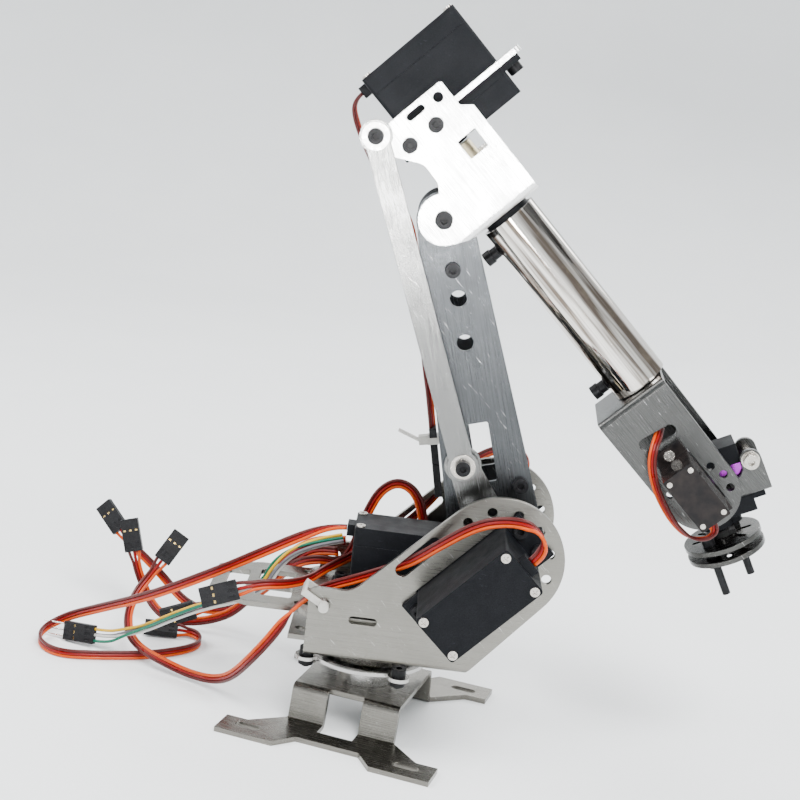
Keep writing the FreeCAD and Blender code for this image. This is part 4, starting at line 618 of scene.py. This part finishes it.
def jumper():
    """Four loose wires from behind the waist frame to a plug with three pins."""
    spots = [WAIST @ Vector(p) for p in JUMPER_LEAD]
    line = centre_line(spots)
    side = WAIST.to_3x3() @ Vector((0, 0.25, 1))
    strands = [
        ([(0, (0.0016, 0.0002)), (3, (0.0009, -0.0006)), (8, (0.0012, 0.0004)), (11, (0.0024, 0))], YELLOW),
        ([(0, (0.0004, -0.001)), (3, (0.0019, 0.0008)), (8, (-0.0002, -0.0007)), (11, (-0.0024, 0))], TEAL),
        ([(0, (-0.0014, 0.0004)), (3, (-0.0017, 0.0005)), (8, (-0.0012, 0.0008)), (11, (0, 0))], WHITE),
        ([(0, (-0.0007, -0.0014)), (3, (-0.0006, -0.0006)), (8, (0.0004, 0.0010)), (11, (0.0002, 0.0008))],
         GREY)]
    span = len(JUMPER_LEAD) - 1
    made = wires("jumper_wires", line, span, [(0, side), (span, side)], strands, JUMPER_WIRE_RADIUS)
    ahead = (spots[-1] - spots[-2]).normalized()
    shell = plug_piece("jumper_wires_plug", spots[-1] - ahead * PLUG_OVERLAP, ahead, side, pins=True)
    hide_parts("lead_plugs")
    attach(shell, "waist")
    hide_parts("jumper_lead")
    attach(made, "waist")


jumper()


# ---------------------------------------------------------------- finishes of the CAD parts

# Where the rod's upper pin is, as x and z in the waist's frame.
ROD_PIN = (-0.01855, 0.22142)

# Each material with the nodes that wear it.
FINISHES = [
    (brushed("stand_steel", (0.23, 0.22, 0.195), (0.14, 0.133, 0.12), along(0, 0), 0.24),
     ["stand"]),
    (brushed("frame_steel", (0.245, 0.237, 0.212), (0.185, 0.178, 0.16), along(0), 0.28),
     ["waist_frame", "servo_tray"]),
    # The arm plates' colour is far darker than their own satin grey: partly their tone, partly painted shade
    # for the dark surroundings they reflect.
    (brushed("arm_steel", (0.088, 0.092, 0.096), (0.05, 0.053, 0.056), along(ARM_LEAN), 0.28, 1.4),
     ["arm_plates", "arm_spacers"]),
    (brushed("rod_steel", (0.215, 0.215, 0.21), (0.15, 0.15, 0.146), along(ARM_LEAN), 0.2),
     ["rod", "crank"]),
    (brushed("elbow_steel", (0.96, 0.955, 0.95), (0.86, 0.855, 0.85), along(ELBOW_LEAN), 0.25),
     ["elbow_frame", "roll_servo_plate"]),
    (brushed("yoke_alloy", (0.10, 0.10, 0.098), (0.062, 0.062, 0.06), along(ELBOW_LEAN), 0.25, 1.2),
     ["wrist_yoke", "wrist_bracket"]),
    (brushed("swivel_steel", (0.55, 0.54, 0.52), (0.38, 0.37, 0.36), along(0, 0), 0.2),
     ["swivel_ring", "swivel_dish", "base_hub"]),
    (brushed("dark_disc", (0.10, 0.098, 0.092), (0.05, 0.05, 0.048), along(TOOL_LEAN), 0.22),
     ["tool_plates"]),
    # The tube's dark colour is the painted reflection in its streaks.
    (chrome("tube_chrome", (0.80, 0.76, 0.71), (0.15, 0.12, 0.098), along(ELBOW_LEAN), 0.04),
     ["forearm_tube"]),
    (oxide("nickel", (0.42, 0.39, 0.35), (0.62, 0.59, 0.55), 0.2),
     ["cover_screws", "roll_cover_screws", "wrist_servo_screws", "rod_bush", "wrist_bolt"]),
    (oxide("black_oxide", (0.006, 0.006, 0.0065), (0.020, 0.020, 0.022), 0.33, 0.2),
     ["arm_screws", "hub_screws", "mount_screws", "swivel_screws",
      "crank_pin", "tool_screws", "tray_standoffs"]),
    (moulded("servo_black", (0.004, 0.0044, 0.0055), (0.011, 0.012, 0.0145), 0.46, worn=0.4),
     ["servo_cases", "servo_covers",
      "servo_gearcases", "roll_servo_case", "roll_servo_cover", "roll_servo_gearcase",
      "tool_servo_case", "tool_servo_cover", "tube_hubs"]),
    (glossy_plastic("smoke_case", (0.006, 0.0055, 0.006), (0.018, 0.014, 0.013), 0.1, 0.04),
     ["wrist_servo_case", "wrist_servo_cover"]),
    (oxide("motor_steel", (0.55, 0.54, 0.52), (0.7, 0.69, 0.67), 0.3),
     ["servo_motors", "roll_servo_motor"]),
    (oxide("shaft_metal", (0.45, 0.38, 0.24), (0.62, 0.55, 0.4), 0.3),
     ["waist_servo_shaft", "crank_servo_shaft", "shoulder_servo_shaft", "roll_servo_shaft",
      "wrist_servo_shaft"]),
    (moulded("horn_black", (0.012, 0.012, 0.012), (0.03, 0.03, 0.03), 0.4), ["tool_horn"]),
    (polished("anodised", (0.34, 0.035, 0.42), (0.2, 0.02, 0.26), along(TOOL_LEAN), 0.2),
     ["tool_servo_band"]),
    (glossy_plastic("nylon", (0.40, 0.39, 0.36), (0.50, 0.49, 0.46), 0.35, 0.2), ["zip_tie", "arm_tie"]),
    (washered_oxide("elbow_fasteners", ROD_PIN), ["elbow_screws"]),
]


def dress():
    """Gives each CAD node its one material."""
    for material, names in FINISHES:
        for name in names:
            node = nodes[name]
            node.data.materials.clear()
            node.data.materials.append(material)


dress()


# ---------------------------------------------------------------- floor, light

SKY = (0.95, 0.97, 1.0)
SKY_STRENGTH = 0.16
FLOOR_RADIUS = 0.9
BOWL_RADIUS = 0.9
BOWL_TOP = 1.5
BOWL_STEPS = 12
FLOOR_SECTORS = 96
PAPER_LOW = (0.85, 0.872, 0.882)
PAPER_HIGH = (0.875, 0.895, 0.905)
PAPER_FIBRE = (0.77, 0.785, 0.79)


def make_stage():
    """Seamless pale bowl: a flat floor that rises far from the object on every side."""
    profile = [(FLOOR_RADIUS / 2, 0.0), (FLOOR_RADIUS, 0.0)]
    for k in range(1, BOWL_STEPS + 1):
        angle = math.radians(90 * k / BOWL_STEPS)
        profile.append((FLOOR_RADIUS + BOWL_RADIUS * math.sin(angle), BOWL_RADIUS * (1 - math.cos(angle))))
    profile.append((FLOOR_RADIUS + BOWL_RADIUS, BOWL_TOP))
    mesh = bmesh.new()
    rings = []
    for radius, height in profile:
        ring = []
        for k in range(FLOOR_SECTORS):
            angle = 2 * math.pi * k / FLOOR_SECTORS
            ring.append(mesh.verts.new((radius * math.cos(angle), radius * math.sin(angle), height)))
        rings.append(ring)
    middle = mesh.verts.new((0, 0, 0))
    for k in range(FLOOR_SECTORS):
        after = (k + 1) % FLOOR_SECTORS
        mesh.faces.new((middle, rings[0][k], rings[0][after]))
        for low, high in zip(rings, rings[1:]):
            mesh.faces.new((low[k], high[k], high[after], low[after]))
    for face in mesh.faces:
        face.smooth = True
    data = bpy.data.meshes.new("floor")
    mesh.to_mesh(data)
    mesh.free()
    floor = bpy.data.objects.new("floor", data)
    bpy.context.scene.collection.objects.link(floor)
    p = Paint("floor_paper")
    flat = p.coords()
    fibres = p.noise(flat, 700, 4, 0.6)
    clouds = p.noise(flat, 9, 3, 0.5)
    tone = p.blend(p.ramp(clouds, 0, 1, 0.35, 0.65), PAPER_LOW, PAPER_HIGH)
    tone = p.blend(p.ramp(fibres, 0, 0.25, 0.4, 0.7), tone, PAPER_FIBRE)
    p.set(Base_Color=tone, Roughness=0.7, Normal=p.bump(fibres, 0.0002, 0.3))
    data.materials.append(p.material)


def area_light(name, spot, target, size, power, spread=180):
    """Rectangular lamp at spot that faces target; spread is in degrees."""
    data = bpy.data.lights.new(name, "AREA")
    data.shape = "RECTANGLE"
    data.size, data.size_y = size
    data.energy = power
    data.spread = math.radians(spread)
    lamp = bpy.data.objects.new(name, data)
    lamp.location = spot
    lamp.rotation_mode = "QUATERNION"
    lamp.rotation_quaternion = (Vector(target) - Vector(spot)).to_track_quat("-Z", "Y")
    bpy.context.scene.collection.objects.link(lamp)


def make_world():
    """Even, faintly cool light from all round."""
    world = bpy.data.worlds.new("studio")
    world.use_nodes = True
    tree = world.node_tree
    back = tree.nodes["Background"]
    back.inputs["Color"].default_value = (*SKY, 1)
    back.inputs["Strength"].default_value = SKY_STRENGTH
    bpy.context.scene.world = world


make_stage()
make_world()
area_light("key", (0.55, -0.55, 1.15), (0, 0, 0.05), (0.8, 0.8), 44)
area_light("side", (-0.85, -0.2, 0.9), (0, 0, 0.08), (0.7, 0.7), 17)
area_light("back", (0.1, 0.95, 0.9), (0, 0, 0.1), (1.0, 0.6), 13)
area_light("front", (0.24, -0.85, 0.16), (-0.005, 0, 0.225), (0.25, 0.12), 0.075, 14)
